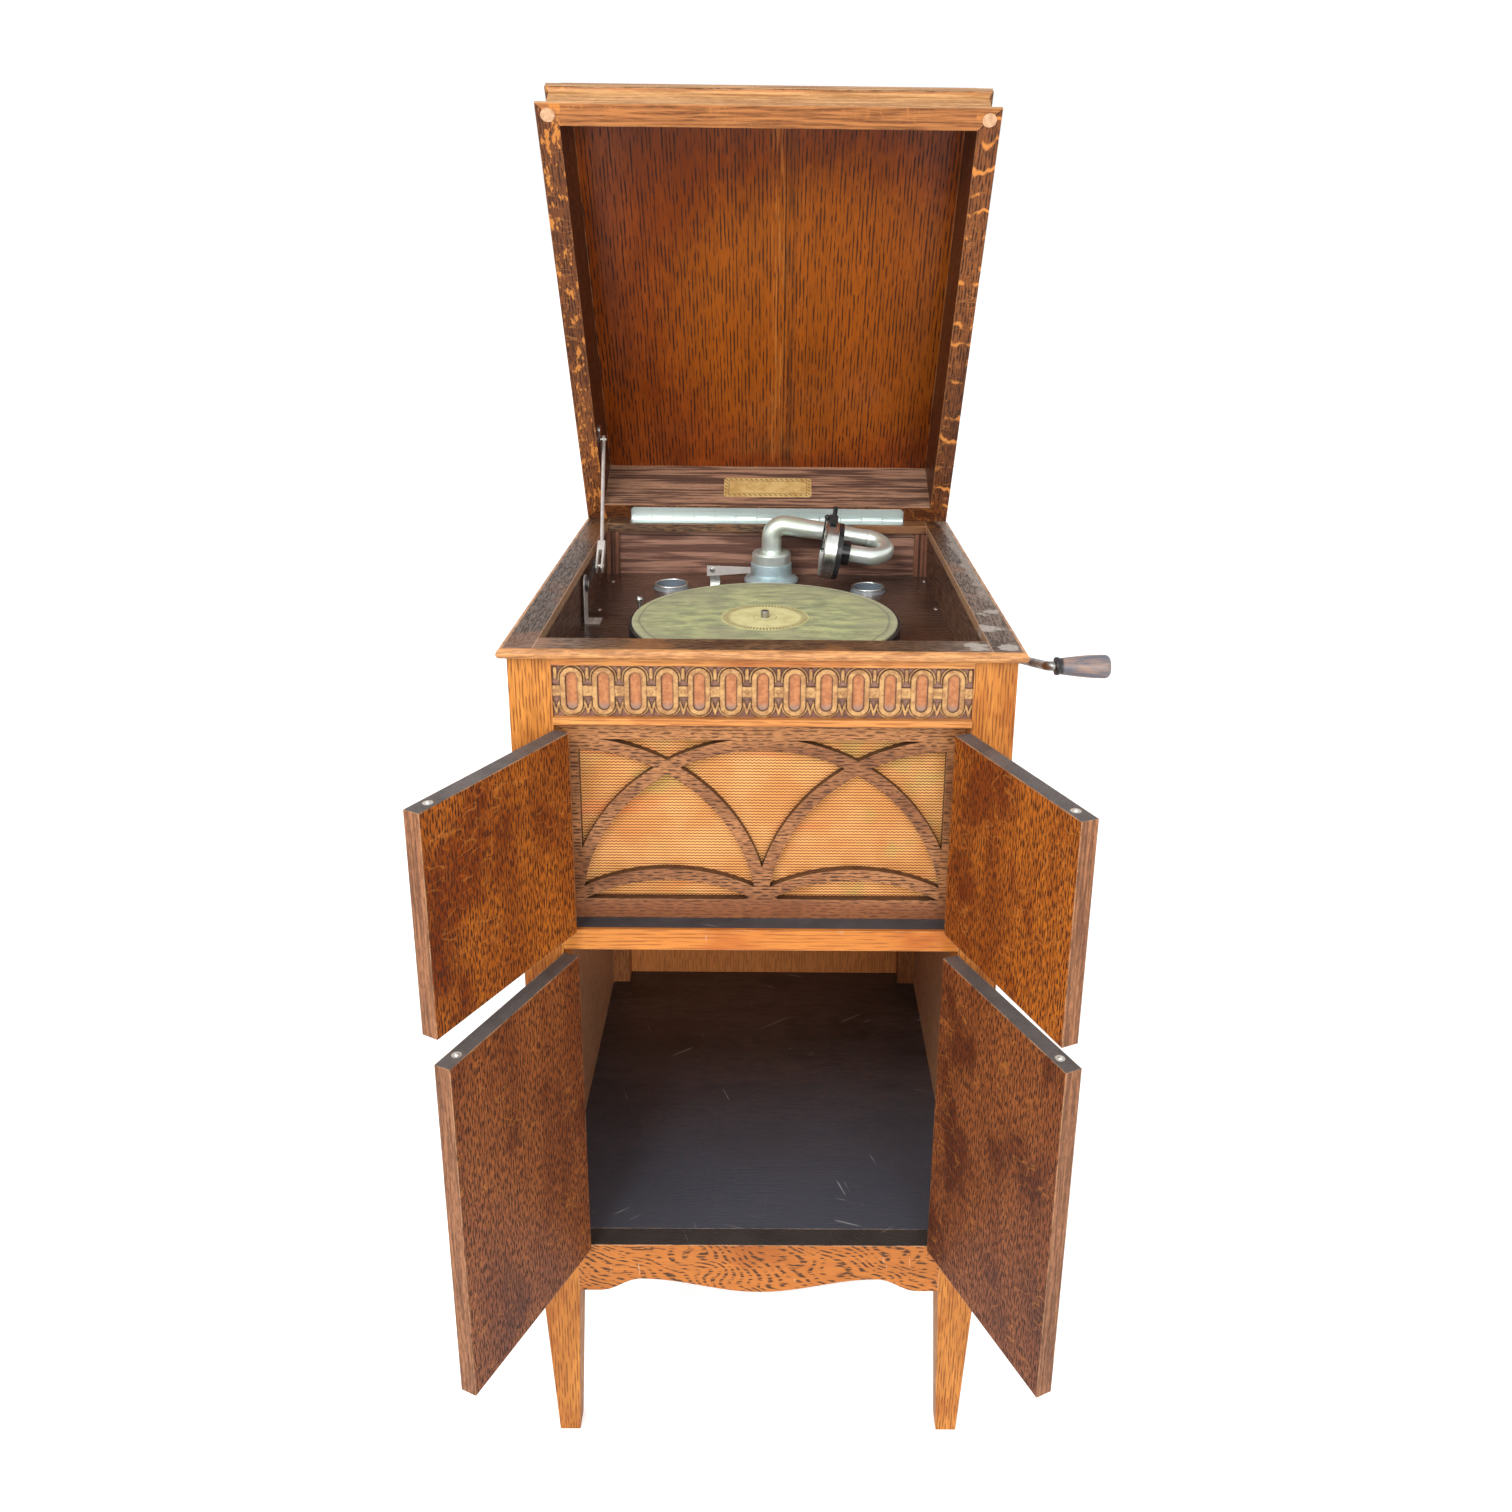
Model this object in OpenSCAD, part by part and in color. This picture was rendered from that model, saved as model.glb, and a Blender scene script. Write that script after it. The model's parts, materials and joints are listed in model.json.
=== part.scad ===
// Floor-standing gramophone cabinet with its lid and four doors open, in millimetres.
// X runs to the right, Y to the back and Z up. The origin lies on the floor under the case's centre.

/* [Case] */
// Width over the corner posts
case_w = 480; // [430:5:540]
// Depth over the corner posts
case_d = 548; // [530:2:600]
// Height of the opening under the front apron
leg_h = 205; // [120:5:300]
// Height of the front apron
apron_h = 62; // [48:1:90]
// Thickness of the front apron
apron_t = 24; // [16:1:30]
// Rise of the apron's curved underside beside the legs
apron_rise = 16; // [6:1:24]
// Height of the record compartment
lower_open_h = 369; // [320:1:420]
// Thickness of the shelf over the record compartment
shelf_t = 22.5; // [16:0.5:30]
// Height of the opening in front of the grille
upper_open_h = 218.5; // [200:0.5:260]
// Height of the carved rail over the upper doors
head_h = 71; // [64:1:90]
// Width of a corner post
post_w = 41; // [36:1:50]
// Depth of a corner post
post_d = 43; // [36:1:50]
// Width of a leg at the floor
foot_w = 23; // [16:1:32]
// Set-in of a leg's outer face at the floor, seen from the front
foot_in_x = 10.7; // [0:0.1:16]
// Set-in of a leg's outer face at the floor, seen from the side
foot_in_y = 3; // [0:0.5:16]
// Thickness of a side panel
side_t = 12; // [8:1:16]
// Set-back of the side panels from the posts' outer faces
side_setback = 5; // [2:1:10]
// Thickness of the back panel
back_t = 9; // [6:1:14]
// Distance from the posts' back faces to the back panel's outer face
back_setback = 7; // [2:1:12]
// Depth of a back post where it is notched for the well
post_tail = 22; // [18:1:28]
// Thickness of the compartment floor
floor_t = 12; // [8:1:18]

/* [Rim] */
// Thickness of the rim round the top
rim_t = 10; // [8:1:16]
// Width of the flat top of the front rim rail
rim_w = 32.7; // [28:0.1:38]
// Width of the flat top of a side rim rail
rim_side_w = 28.4; // [24:0.1:34]
// Overhang of the flat top beyond the front of the posts
rim_over_y = 8.4; // [6:0.1:12]
// Overhang of the flat top beyond the sides of the posts
rim_over_x = 2.2; // [1:0.1:8]

/* [Carved rail] */
// Thickness of the carved rail
head_t = 19; // [16:1:24]
// Spacing of the carved loops
loop_pitch = 30.1; // [28:0.1:31]
// Width of a carved loop
loop_w = 21; // [18:0.5:22]
// Height of a carved loop
loop_h = 47.5; // [40:0.5:49]
// Width of the raised band of a loop
loop_band = 4.8; // [3:0.1:6]
// Height of the carving above its ground
relief = 3; // [2:0.5:5]
// Height of the bead strip above the carving
bead_top_h = 9; // [6:0.5:12]
// Height of the bead strip below the carving
bead_low_h = 7.5; // [5:0.5:10]
// Projection of the lower bead strip before the posts
bead_proud = 4; // [1:0.5:6]

/* [Grille] */
// Set-back of the grille from the front of the posts
grille_setback = 24; // [22:0.5:30]
// Thickness of the grille board
grille_t = 9; // [6:1:12]
// Width of the grille's end stiles
grille_stile = 18.4; // [12:0.1:26]
// Height of the grille's bottom rail
grille_bottom = 21.5; // [14:0.5:30]
// Height of the grille's top rail
grille_top = 22.5; // [14:0.5:30]
// Width of a grille arch band
arch_band = 12.5; // [8:0.5:16]
// Inner radius of the tall arches
arch_r = 183; // [176:0.5:188]
// Height of the low arches' crown above the bottom rail
low_arch_rise = 20; // [12:1:30]
// Thickness of the grille cloth
cloth_t = 1; // [0.6:0.1:2]

/* [Doors] */
// Thickness of a door
door_t = 17; // [14:1:20]
// Clearance above and below a door
door_gap = 2.5; // [1:0.5:4]
// Clearance between a door and its post, half of it between doors
door_side_gap = 0.6; // [0.6:0.1:1.5]
// Opening of the upper left door in degrees
open_upper_left = 118; // [95:1:160]
// Opening of the upper right door in degrees
open_upper_right = 113; // [95:1:160]
// Opening of the lower left door in degrees
open_lower_left = 115; // [95:1:160]
// Opening of the lower right door in degrees
open_lower_right = 115; // [95:1:160]
// Length of a butt hinge
butt_len = 50; // [36:1:60]
// Depth of a butt hinge leaf
butt_leaf = 15; // [10:0.5:16]
// Radius of a butt hinge knuckle
butt_r = 2.4; // [2:0.1:3]
// Distance from a door's end to its hinge
butt_inset = 30; // [20:1:50]

/* [Lid] */
// Opening of the lid in degrees
lid_open = 61.8; // [58:0.2:70]
// Reach of the lid over the rim's flat
lid_over = 2.2; // [0:0.1:4]
// Thickness of the lid's walls
lid_wall = 24; // [20:1:28]
// Height of the lid's walls
lid_wall_h = 51; // [44:1:60]
// Thickness of the lid's projecting slab
lid_slab_t = 9; // [6:1:14]
// Height of the raised middle of the lid above the slab
lid_block_h = 38; // [34:1:60]
// Set-in of the raised middle of the lid
lid_block_in = 15; // [12:1:17]
// Depth of the hollow in the lid
lid_hollow = 86; // [76:1:90]
// Gap between the closed lid and the rim
lid_gap = 1; // [0.6:0.1:2]
// Length of the piano hinge
piano_len = 370.5; // [300:0.5:400]
// Number of knuckles of the piano hinge
piano_knuckles = 13; // [7:2:17]
// Radius of a piano hinge knuckle
piano_r = 2.6; // [2.4:0.1:3]
// Width of the lid's leaf of the piano hinge
piano_leaf_w = 19; // [14:0.5:22]
// Width of the case's leaf of the piano hinge
piano_case_w = 25; // [18:0.5:28]
// Width of the bare plaque
plaque_w = 120; // [80:1:140]
// Height of the bare plaque
plaque_h = 40; // [24:1:44]

/* [Lid stay] */
// Distance from the lid's back edge to the stay's pivot, along the lid
stay_u = 110.8; // [100:0.2:116]
// Height of the stay's pivot above the closed lid's lower edge
stay_v = 27; // [18:0.5:34]
// Distance of the rod's lower pin behind the bracket's pin, lid open
stay_lever_len = 62; // [56:0.5:66]
// Distance of the bracket's pin from the back of the posts
stay_pin_back = 242; // [234:1:250]
// Height of the bracket's pin above the motor board
stay_pin_h = 46; // [42:1:54]

/* [Motor board] */
// Depth of the motor board's top below the rim's top
well_depth = 70; // [62:1:80]
// Thickness of the motor board
board_t = 11; // [8:1:15]
// Thickness of the boards that line the well
liner_t = 7; // [5:1:10]
// Radius of the turntable
platter_r = 150; // [125:1:154]
// Distance of the turntable's centre behind the front of the posts
platter_y = 213; // [205:1:222]
// Height of the felt's top above the motor board
platter_h = 35; // [32:1:38]
// Height of the turntable's skirt
skirt_h = 15; // [10:1:18]
// Thickness of the felt
felt_t = 3.2; // [1:0.1:4]
// Radius of the felt
felt_r = 146.6; // [120:0.2:147]
// Radius of the paper label
label_r = 48.5; // [30:0.5:60]
// Radius of the turntable's spindle above the label
spindle_r = 3.6; // [3:0.1:4]
// Radius of a needle cup
cup_r = 23; // [18:0.5:26]
// Height of a needle cup above the motor board
cup_h = 7; // [4:0.5:10]
// Half the distance between the needle cups
cup_x = 128; // [122:1:136]

/* [Tone arm] */
// Distance of the tone arm's pivot from the back of the posts
arm_back = 53; // [53:1:58]
// Distance of the tone arm's pivot to the right of the middle
arm_x = 6; // [0:1:12]
// Radius of the tone arm's tube at its foot
arm_r = 13; // [11:0.5:14]
// Radius of the tone arm's tube at its end
arm_end_r = 10.6; // [9:0.1:11]
// Wall of the tone arm's tube
arm_wall = 1.4; // [1:0.1:2]
// Distance from the pivot to the arm's end
arm_reach = 125; // [118:1:132]
// Slope of the arm's run in degrees
arm_slope = 8.5; // [4:0.5:12]
// Height of the top of the arm's bend above the motor board
arm_rise = 76.5; // [72:0.5:84]
// Radius of the arm's bend
arm_bend = 17; // [15:1:24]
// Radius of the crook's bend
crook_bend = 24.9; // [24.9:0.1:27]
// Dip of the crook below the level in degrees
crook_dip = 15; // [10:1:16]
// Length of the crook's leg
leg_len = 24; // [20:1:30]
// Radius of the soundbox
soundbox_r = 37; // [30:0.5:38]
// Thickness of the soundbox's ring
ring_t = 17; // [12:1:20]

/* [Crank] */
// Distance of the crank's shaft behind the front of the posts
crank_y = 262; // [256:1:270]
// Height of the crank's shaft below the motor board's top
crank_drop = 28; // [26:1:30]
// Throw of the crank
crank_throw = 147; // [110:1:170]
// Lift of the crank's arm above the level in degrees
crank_lift = 16; // [0:1:40]
// Distance from the post's side to the crank's arm
crank_out = 56; // [44:1:70]
// Radius of the crank's rod
crank_r = 5; // [4:0.5:6]
// Length of the wooden grip
grip_len = 57; // [50:1:75]
// Largest radius of the wooden grip
grip_r = 12.5; // [10:0.5:15]

/* [Motor] */
// Radius of the spring barrel
barrel_r = 38; // [34:1:39]
// Teeth of the barrel's great wheel
great_teeth = 60; // [60:1:60]
// Teeth of the intermediate pinion
pinion_teeth = 12; // [12:1:12]
// Teeth of the intermediate wheel
wheel_teeth = 60; // [60:1:60]
// Teeth of the spindle's pinion
spindle_teeth = 15; // [15:1:15]
// Tooth module of the great wheel and its pinion
great_module = 1.5; // [1.5:0.1:1.5]
// Tooth module of the intermediate wheel and its pinion
wheel_module = 1; // [1:0.1:1]
// Number of governor weights
weight_count = 3; // [3:1:4]

/* [Horn] */
// Thickness of the wooden horn's walls
horn_wall = 7; // [5:1:9]
// Half width and half height of the horn's throat
horn_throat = 30; // [28:1:34]
// Depth of the horn's throat centre below the motor board's top
horn_drop = 133; // [130:1:140]
// Outer radius of the metal elbow
elbow_r = 23; // [20:0.5:24]
// Wall of the metal elbow
elbow_wall = 2.5; // [2:0.5:3.5]

/* [Hidden] */

$fn = 64;
eps = 0.01;          // overlap that joins the solids of one piece
run_gap = 0.05;      // radial clearance of a pin or shaft in its bore
air = 0.3;           // clearance between pieces that pass one another

// Heights of the case, from the floor up
floor_top = leg_h + apron_h;
shelf_z = floor_top + lower_open_h;
shelf_top = shelf_z + shelf_t;
head_z = shelf_top + upper_open_h;
rim_z = head_z + head_h;
rim_top = rim_z + rim_t;
board_top = rim_top - well_depth;
board_z = board_top - board_t;
ledge_w = 24;
ledge_z = board_z - 14;

// Planes of the case
front_y = -case_d / 2;
post_back_y = front_y + post_d;
back_post_y = case_d / 2 - post_d;
back_in_y = case_d / 2 - back_setback - back_t;
open_x = case_w / 2 - post_w;
side_in_x = case_w / 2 - side_setback - side_t;
head_y = front_y + relief;
head_back_y = head_y + head_t;
well_back_y = case_d / 2 - post_tail;
rim_front_y = front_y - rim_over_y;
rim_back_y = case_d / 2 + rim_over_y;
rim_half = case_w / 2 + rim_over_x;
rim_in_x = rim_half - rim_side_w;
rim_in_front = rim_front_y + rim_w;
rim_in_back = rim_back_y - rim_w;

// Carving
carve_z = head_z + 2.5 + bead_low_h;
carve_h = rim_z - bead_top_h - carve_z;
carve_mid = carve_z + carve_h / 2;

// Grille
grille_y = front_y + grille_setback;
grille_h = min(head_z, board_z) - shelf_top;
window_z = shelf_top + grille_bottom;
window_top = head_z - grille_top;
window_half = open_x - grille_stile;
arch_out_r = arch_r + arch_band;
arch_z = window_top + 2 - arch_out_r;
arch_pitch = 2 * sqrt(pow(arch_out_r, 2) - pow(window_z - arch_z + 36, 2));
low_arch_z = window_z + low_arch_rise + arch_band + 1.5 - arch_out_r;

// Doors
door_w = open_x - 2 * door_side_gap;
butt_pin_r = 1.2;
butt_leaf_t = 1.2;
butt_y = front_y - 0.8;
upper_door_z = shelf_top + door_gap;
upper_door_h = upper_open_h - 2 * door_gap;
lower_door_z = floor_top + door_gap;
lower_door_h = lower_open_h - 2 * door_gap;
catch_r = 4.5;
catch_ball_r = 2.4;
catch_in = 20;
strike_t = 1;

// Lid, drawn closed and then turned about its hinge
hinge_y = rim_back_y + 1;
hinge_z = rim_top + lid_gap / 2;
lid_z = rim_top + lid_gap;
lid_half = rim_half + lid_over;
lid_front_y = rim_front_y + 1.5;
lid_back_y = hinge_y + 1.5;
lid_in_half = lid_half - lid_wall;
ledge_h = 6;
ledge_in = 8;
slab_in = 3.4;
piano_leaf_t = 1.2;
piano_pin_r = 1.1;
piano_step = piano_len / piano_knuckles;
buffer_r = 7.5;

// Lid stay: the lid's pivot at rest, the bracket's pin and the rod's lower pin
stay_dy = rim_back_y - stay_u - hinge_y;
stay_dz = lid_z + stay_v - hinge_z;
stay_top_y = hinge_y + stay_dy * cos(lid_open) + stay_dz * sin(lid_open);
stay_top_z = hinge_z - stay_dy * sin(lid_open) + stay_dz * cos(lid_open);
stay_pin_y = case_d / 2 - stay_pin_back;
stay_pin_z = board_top + stay_pin_h;
stay_low_y = stay_pin_y + stay_lever_len;
stay_low_z = stay_pin_z + 6;
stay_plate_t = 1.5;
stay_x = -rim_in_x + 0.9;
stay_lever_t = 2;
stay_lever_x = stay_x + stay_plate_t + 0.6;
stay_fork_x = stay_lever_x + stay_lever_t + 0.8;
stay_fork_w = 9;
stay_rod_x = stay_fork_x + stay_fork_w / 2;
stay_hook_x = -lid_in_half + 5;

// Turntable
table_x = 0;
table_y = front_y + platter_y;
felt_top = board_top + platter_h;
felt_z = felt_top - felt_t;
platter_t = 2.5;

// Tone arm
arm_y = case_d / 2 - arm_back;
flange_r = 36;
collar_r = 27;
collar_z = board_top + 13;
swivel_z = board_top + 26;
swivel_top = board_top + 41.5;
bend_z = board_top + arm_rise - arm_bend;
run_start_x = arm_x + arm_bend + arm_bend * sin(arm_slope);
run_start_z = bend_z + arm_bend * cos(arm_slope);
run_len = (arm_x + arm_reach - run_start_x) / cos(arm_slope);
socket_len = 8;
crook_r = arm_end_r + 0.4;
// A tube's straight leg laps its bend by a hair's step
lap = 0.5;
lap_step = 0.05;
bush_len = 12;
bush_r = 16;
back_plate_t = 6;

// Motor: the barrel's arbor lies in line with the winding shaft
plate_t = 3;
motor_top = board_z;
motor_z = board_top - 83;
shaft_z = board_top - crank_drop;
barrel_x = -72;
barrel_y = front_y + crank_y;
great_z = shaft_z - 17;
great_t = 3.5;
wheel_z = shaft_z - 10;
wheel_t = 2.5;
barrel_reach = great_module * (great_teeth + pinion_teeth) / 2 + 0.2;
spindle_reach = wheel_module * (wheel_teeth + spindle_teeth) / 2 + 0.2;
base_dx = table_x - barrel_x;
base_dy = table_y - barrel_y;
base_len = norm([base_dx, base_dy]);
base_angle = atan2(base_dy, base_dx);
barrel_corner = acos((pow(barrel_reach, 2) + pow(base_len, 2) - pow(spindle_reach, 2))
  / (2 * barrel_reach * base_len));
arbor_angle = base_angle - barrel_corner;
arbor_x = barrel_x + barrel_reach * cos(arbor_angle);
arbor_y = barrel_y + barrel_reach * sin(arbor_angle);
to_spindle = atan2(table_y - arbor_y, table_x - arbor_x);
arbor_r = 2.5;
governor_wheel_r = 20;
worm_r = 4;
governor_y = table_y - governor_wheel_r - worm_r - air;
governor_z = motor_z + 22;
frame_left = 50;
frame_right = 66;
frame_front = 20;
frame_back = 48;

// Crank
grip_bend = 7;
grip_gap = grip_bend + 0.4;
grip_pin_r = 3;

// Horn
throat_z = board_top - horn_drop;
horn_front_y = grille_y + grille_t + cloth_t;
elbow_bend = 32;
horn_back_y = arm_y - elbow_bend - 14;
mouth_half = window_half + 4;
mouth_low = window_z - 10;
mouth_high = window_top + 10;
horn_steps = 12;

// ---- shared shapes

// Box between two opposite corners
module box(low, high) {
  translate(low)
    cube(high - low);
}

// A drawing in X and Z, given depth from the plane y towards the back
module facing(y, depth) {
  translate([0, y + depth, 0])
    rotate([90, 0, 0])
      linear_extrude(depth)
        children();
}

// A drawing in Y and Z, given width from the plane x to the right
module sideways(x, width) {
  translate([x, 0, 0])
    rotate([90, 0, 90])
      linear_extrude(width)
        children();
}

// A rod between two points
module rod(from, to, r) {
  way = to - from;
  translate(from)
    rotate([0, acos(way.z / norm(way)), atan2(way.y, way.x)])
      cylinder(h = norm(way), r = r);
}

// An upright oblong with round ends, centred on the origin
module oblong(w, h) {
  square([w, h - w], center = true);
  for (side = [-1, 1])
    translate([0, side * (h - w) / 2])
      circle(d = w);
}

// A cylinder along X from x to x + len
module x_rod(x, y, z, len, r) {
  translate([x, y, z])
    rotate([0, 90, 0])
      cylinder(h = len, r = r);
}

// A spur gear's outline with straight-sided teeth and a little backlash
module gear_outline(teeth, m) {
  root_r = m * teeth / 2 - 1.25 * m;
  tip_r = m * teeth / 2 + 0.85 * m;
  step = 360 / teeth;
  circle(r = root_r, $fn = 2 * teeth);
  for (i = [0 : teeth - 1])
    rotate(i * step)
      polygon([[root_r - m, -0.9 * m], [root_r, -0.85 * m], [tip_r, -0.34 * m],
        [tip_r, 0.34 * m], [root_r, 0.85 * m], [root_r - m, 0.9 * m]]);
}

// Plan of a board that fits round the four posts
module deck_plan(y_from, y_to) {
  difference() {
    translate([-side_in_x, y_from])
      square([2 * side_in_x, y_to - y_from]);
    for (side = [-1, 1], end = [-1, 1])
      translate([side * (case_w / 2 - post_w / 2), end * (case_d / 2 - post_d / 2)])
        square([post_w + 2 * eps, post_d + 2 * eps], center = true);
  }
}

// ---- posts and panels

// Outline of a post from its outer face: width across, taper on both faces
module post_outline(width, outer_in) {
  inner_in = width - foot_w - outer_in;
  polygon([[0, rim_z], [width, rim_z], [width, leg_h], [width - inner_in, 0],
    [outer_in, 0], [0, leg_h]]);
}

// Mortises for the butt hinges in the left front post
module post_mortises() {
  for (z = concat(butt_heights(upper_door_z, upper_door_h), butt_heights(lower_door_z, lower_door_h))) {
    box([-open_x - butt_leaf_t, butt_y, z], [-open_x + 1, butt_y + butt_leaf, z + butt_len]);
    translate([-open_x, butt_y, z])
      cylinder(h = butt_len, r = butt_r + air);
  }
}

// The left front post
module post_front() {
  color("peru")
    difference() {
      post_blank(relief + head_t);
      post_mortises();
    }
}

// A post without mortises, in the left front corner, notched from ledge_z up for the well
module post_blank(tail) {
  translate([-case_w / 2, front_y, 0])
    difference() {
      intersection() {
        facing(0, post_d)
          post_outline(post_w, foot_in_x);
        sideways(0, post_w)
          post_outline(post_d, foot_in_y);
      }
      box([side_setback + side_t, tail, ledge_z], [post_w + 1, post_d + 1, rim_z + 1]);
    }
}

module post_front_left() {
  post_front();
}

module post_front_right() {
  mirror([1, 0, 0])
    post_front();
}

module post_back_left() {
  color("peru")
    mirror([0, 1, 0])
      post_blank(post_tail);
}

module post_back_right() {
  color("peru")
    mirror([1, 0, 0])
      mirror([0, 1, 0])
        post_blank(post_tail);
}

// A side panel between its posts, on the left
module side_panel() {
  box([-side_in_x - side_t, post_back_y, floor_top - floor_t], [-side_in_x, back_post_y, rim_z]);
}

module side_panel_left() {
  color("saddlebrown")
    side_panel();
}

module side_panel_right() {
  color("saddlebrown")
    difference() {
      mirror([1, 0, 0])
        side_panel();
      x_rod(side_in_x - 1, barrel_y, shaft_z, side_t + 2, crank_r + 3);
    }
}

module back_panel() {
  color("saddlebrown")
    box([-open_x, back_in_y, floor_top - floor_t], [open_x, back_in_y + back_t, rim_z]);
}

// The rails under the side panels and the back panel
module bottom_rails() {
  color("peru") {
    for (side = [0, 1])
      mirror([side, 0, 0])
        box([-side_in_x - side_t, post_back_y, leg_h], [-side_in_x + 8, back_post_y, floor_top - floor_t]);
    box([-open_x, back_in_y - 10, leg_h], [open_x, back_in_y + back_t, floor_top - floor_t]);
  }
}

// Height of the apron's underside at a distance x from the middle
function apron_edge(x) =
  let (crown_x = 0.66 * open_x, foot_x = 0.88 * open_x)
  abs(x) < crown_x
    ? leg_h - 2 + (apron_rise + 2) * (1 - cos(180 * abs(x) / crown_x)) / 2
    : abs(x) < foot_x
      ? leg_h + apron_rise * (1 + cos(180 * (abs(x) - crown_x) / (foot_x - crown_x))) / 2
      : leg_h;

module front_apron() {
  steps = 48;
  color("darkorange")
    facing(front_y, apron_t)
      polygon(concat([[open_x, floor_top], [-open_x, floor_top]],
        [for (i = [0 : steps]) let (x = -open_x + 2 * open_x * i / steps) [x, apron_edge(x)]]));
}

module floor_board() {
  color("dimgray")
    translate([0, 0, floor_top - floor_t])
      linear_extrude(floor_t)
        deck_plan(front_y + apron_t, back_in_y);
}

module mid_shelf() {
  color("peru")
    translate([0, 0, shelf_z])
      difference() {
        linear_extrude(shelf_t)
          deck_plan(front_y, back_in_y);
        for (side = [-1, 1])
          translate([side * catch_in, strike_y(), -eps])
            strike_recess();
      }
}

// ---- rim

// Section of a rim rail with its half-round outer edge
module rim_section(w) {
  translate([0, rim_z])
    square([w, rim_t]);
  translate([w, rim_z + rim_t / 2])
    circle(d = rim_t);
}

// A side rail of the rim, mitred at the front and square at the back
module rim_side() {
  intersection() {
    translate([0, rim_back_y, 0])
      rotate([90, 0, 0])
        linear_extrude(rim_back_y - rim_front_y + rim_t)
          translate([rim_in_x, 0])
            rim_section(rim_side_w);
    translate([0, 0, rim_z])
      linear_extrude(rim_t)
        polygon([[rim_in_x, rim_in_front], [rim_half, rim_front_y],
          [rim_half + rim_t, rim_front_y - rim_t], [rim_half + rim_t, rim_back_y],
          [rim_in_x, rim_back_y]]);
  }
}

// The front rail of the rim, mitred at both ends
module rim_front() {
  intersection() {
    translate([-rim_half - rim_t, rim_in_front, 0])
      rotate([90, 0, 90])
        linear_extrude(2 * (rim_half + rim_t))
          mirror([1, 0])
            rim_section(rim_w);
    translate([0, 0, rim_z])
      linear_extrude(rim_t)
        polygon([[-rim_in_x, rim_in_front], [-rim_half, rim_front_y],
          [-rim_half - rim_t, rim_front_y - rim_t], [rim_half + rim_t, rim_front_y - rim_t],
          [rim_half, rim_front_y], [rim_in_x, rim_in_front]]);
  }
}

module rim_frame() {
  color("sienna") {
    rim_front();
    for (side = [0, 1])
      mirror([side, 0, 0])
        rim_side();
    difference() {
      box([-rim_in_x, rim_in_back, rim_z], [rim_in_x, rim_back_y, rim_top]);
      piano_recess(rim_top - piano_leaf_t, piano_case_w);
    }
  }
}

// ---- carved rail

// One loop: a raised band round a sunk field
module carved_loop() {
  difference() {
    oblong(loop_w, loop_h);
    oblong(loop_w - 2 * loop_band, loop_h - 2 * loop_band);
  }
}

// A thin line that follows a loop's ends
module echo_line() {
  line = 1.5;
  grow = 4.6;
  difference() {
    oblong(loop_w + grow, loop_h + grow);
    oblong(loop_w + grow - 2 * line, loop_h + grow - 2 * line);
    square([loop_w + 2 * grow, loop_h / 2.6], center = true);
  }
}

// The strap between two loops with its round boss, and the leaf above it
module carved_strap() {
  strap_w = loop_pitch - loop_w + 2;
  square([strap_w, 10.8], center = true);
  translate([0, loop_h / 2 - 6])
    oblong(3.4, 12);
  for (side = [-1, 1])
    translate([side * 1.4, -loop_h / 2 + 7])
      rotate(side * -16)
        oblong(2.2, 13);
}

module frieze_rail() {
  last = floor((2 * open_x - loop_w) / loop_pitch) / 2;
  bound = [2 * open_x, carve_h];
  color("rosybrown") {
    difference() {
      box([-open_x, head_y, head_z], [open_x, head_back_y, rim_z]);
      for (side = [-1, 1])
        translate([side * catch_in, strike_y(), head_z - eps])
          strike_recess();
    }
    facing(front_y + relief * 0.15, relief)
      translate([0, carve_mid])
        for (i = [-last : last])
          translate([i * loop_pitch, 0])
            carved_loop();
    facing(front_y + relief * 0.35, relief)
      intersection() {
        translate([0, carve_mid])
          square(bound, center = true);
        for (i = [-last - 0.5 : last + 0.5])
          translate([i * loop_pitch, carve_mid])
            carved_strap();
      }
    facing(front_y + relief * 0.55, relief)
      intersection() {
        translate([0, carve_mid])
          square(bound, center = true);
        for (i = [-last : last])
          translate([i * loop_pitch, carve_mid])
            echo_line();
      }
    for (i = [-last - 0.5 : last + 0.5])
      translate([i * loop_pitch, front_y + relief * 0.35, carve_mid])
        rotate([90, 0, 0])
          cylinder(h = 0.9, r1 = 2.2, r2 = 1.2, $fn = 24);
  }
}

// The strips above and below the carving; the lower one stands proud
module frieze_beads() {
  color("darkorange") {
    box([-open_x, front_y - 1, rim_z - bead_top_h], [open_x, head_y, rim_z]);
    facing_bead(carve_z - bead_low_h, bead_low_h);
  }
}

// The lower strip with a rounded lower front edge
module facing_bead(z, h) {
  edge = 2;
  sideways(-open_x, 2 * open_x)
    polygon(concat([[head_y, z], [head_y, z + h], [front_y - bead_proud, z + h]],
      [for (a = [0 : 15 : 90]) [front_y - bead_proud + edge * (1 - cos(a)), z + edge * (1 - sin(a))]]));
}

// ---- grille

// One arch band: a full ring, cut to the window later
module arch_ring(x, z) {
  translate([x, z])
    difference() {
      circle(r = arch_out_r, $fn = 128);
      circle(r = arch_r, $fn = 128);
    }
}

module grille_fret() {
  color("saddlebrown")
    facing(grille_y, grille_t) {
      difference() {
        translate([-open_x, shelf_top])
          square([2 * open_x, grille_h]);
        translate([-window_half, window_z])
          square([2 * window_half, window_top - window_z]);
      }
      intersection() {
        translate([-window_half - 1, window_z - 1])
          square([2 * window_half + 2, window_top - window_z + 2]);
        union() {
          for (i = [-1 : 1])
            arch_ring(i * arch_pitch / 2, arch_z);
          for (i = [-1, 1])
            arch_ring(i * arch_pitch / 4, low_arch_z);
        }
      }
    }
}

module grille_cloth() {
  color("goldenrod")
    box([-window_half - 8, grille_y + grille_t, window_z - 8],
      [window_half + 8, grille_y + grille_t + cloth_t, window_top + 8]);
}

// ---- doors and their fittings

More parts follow.
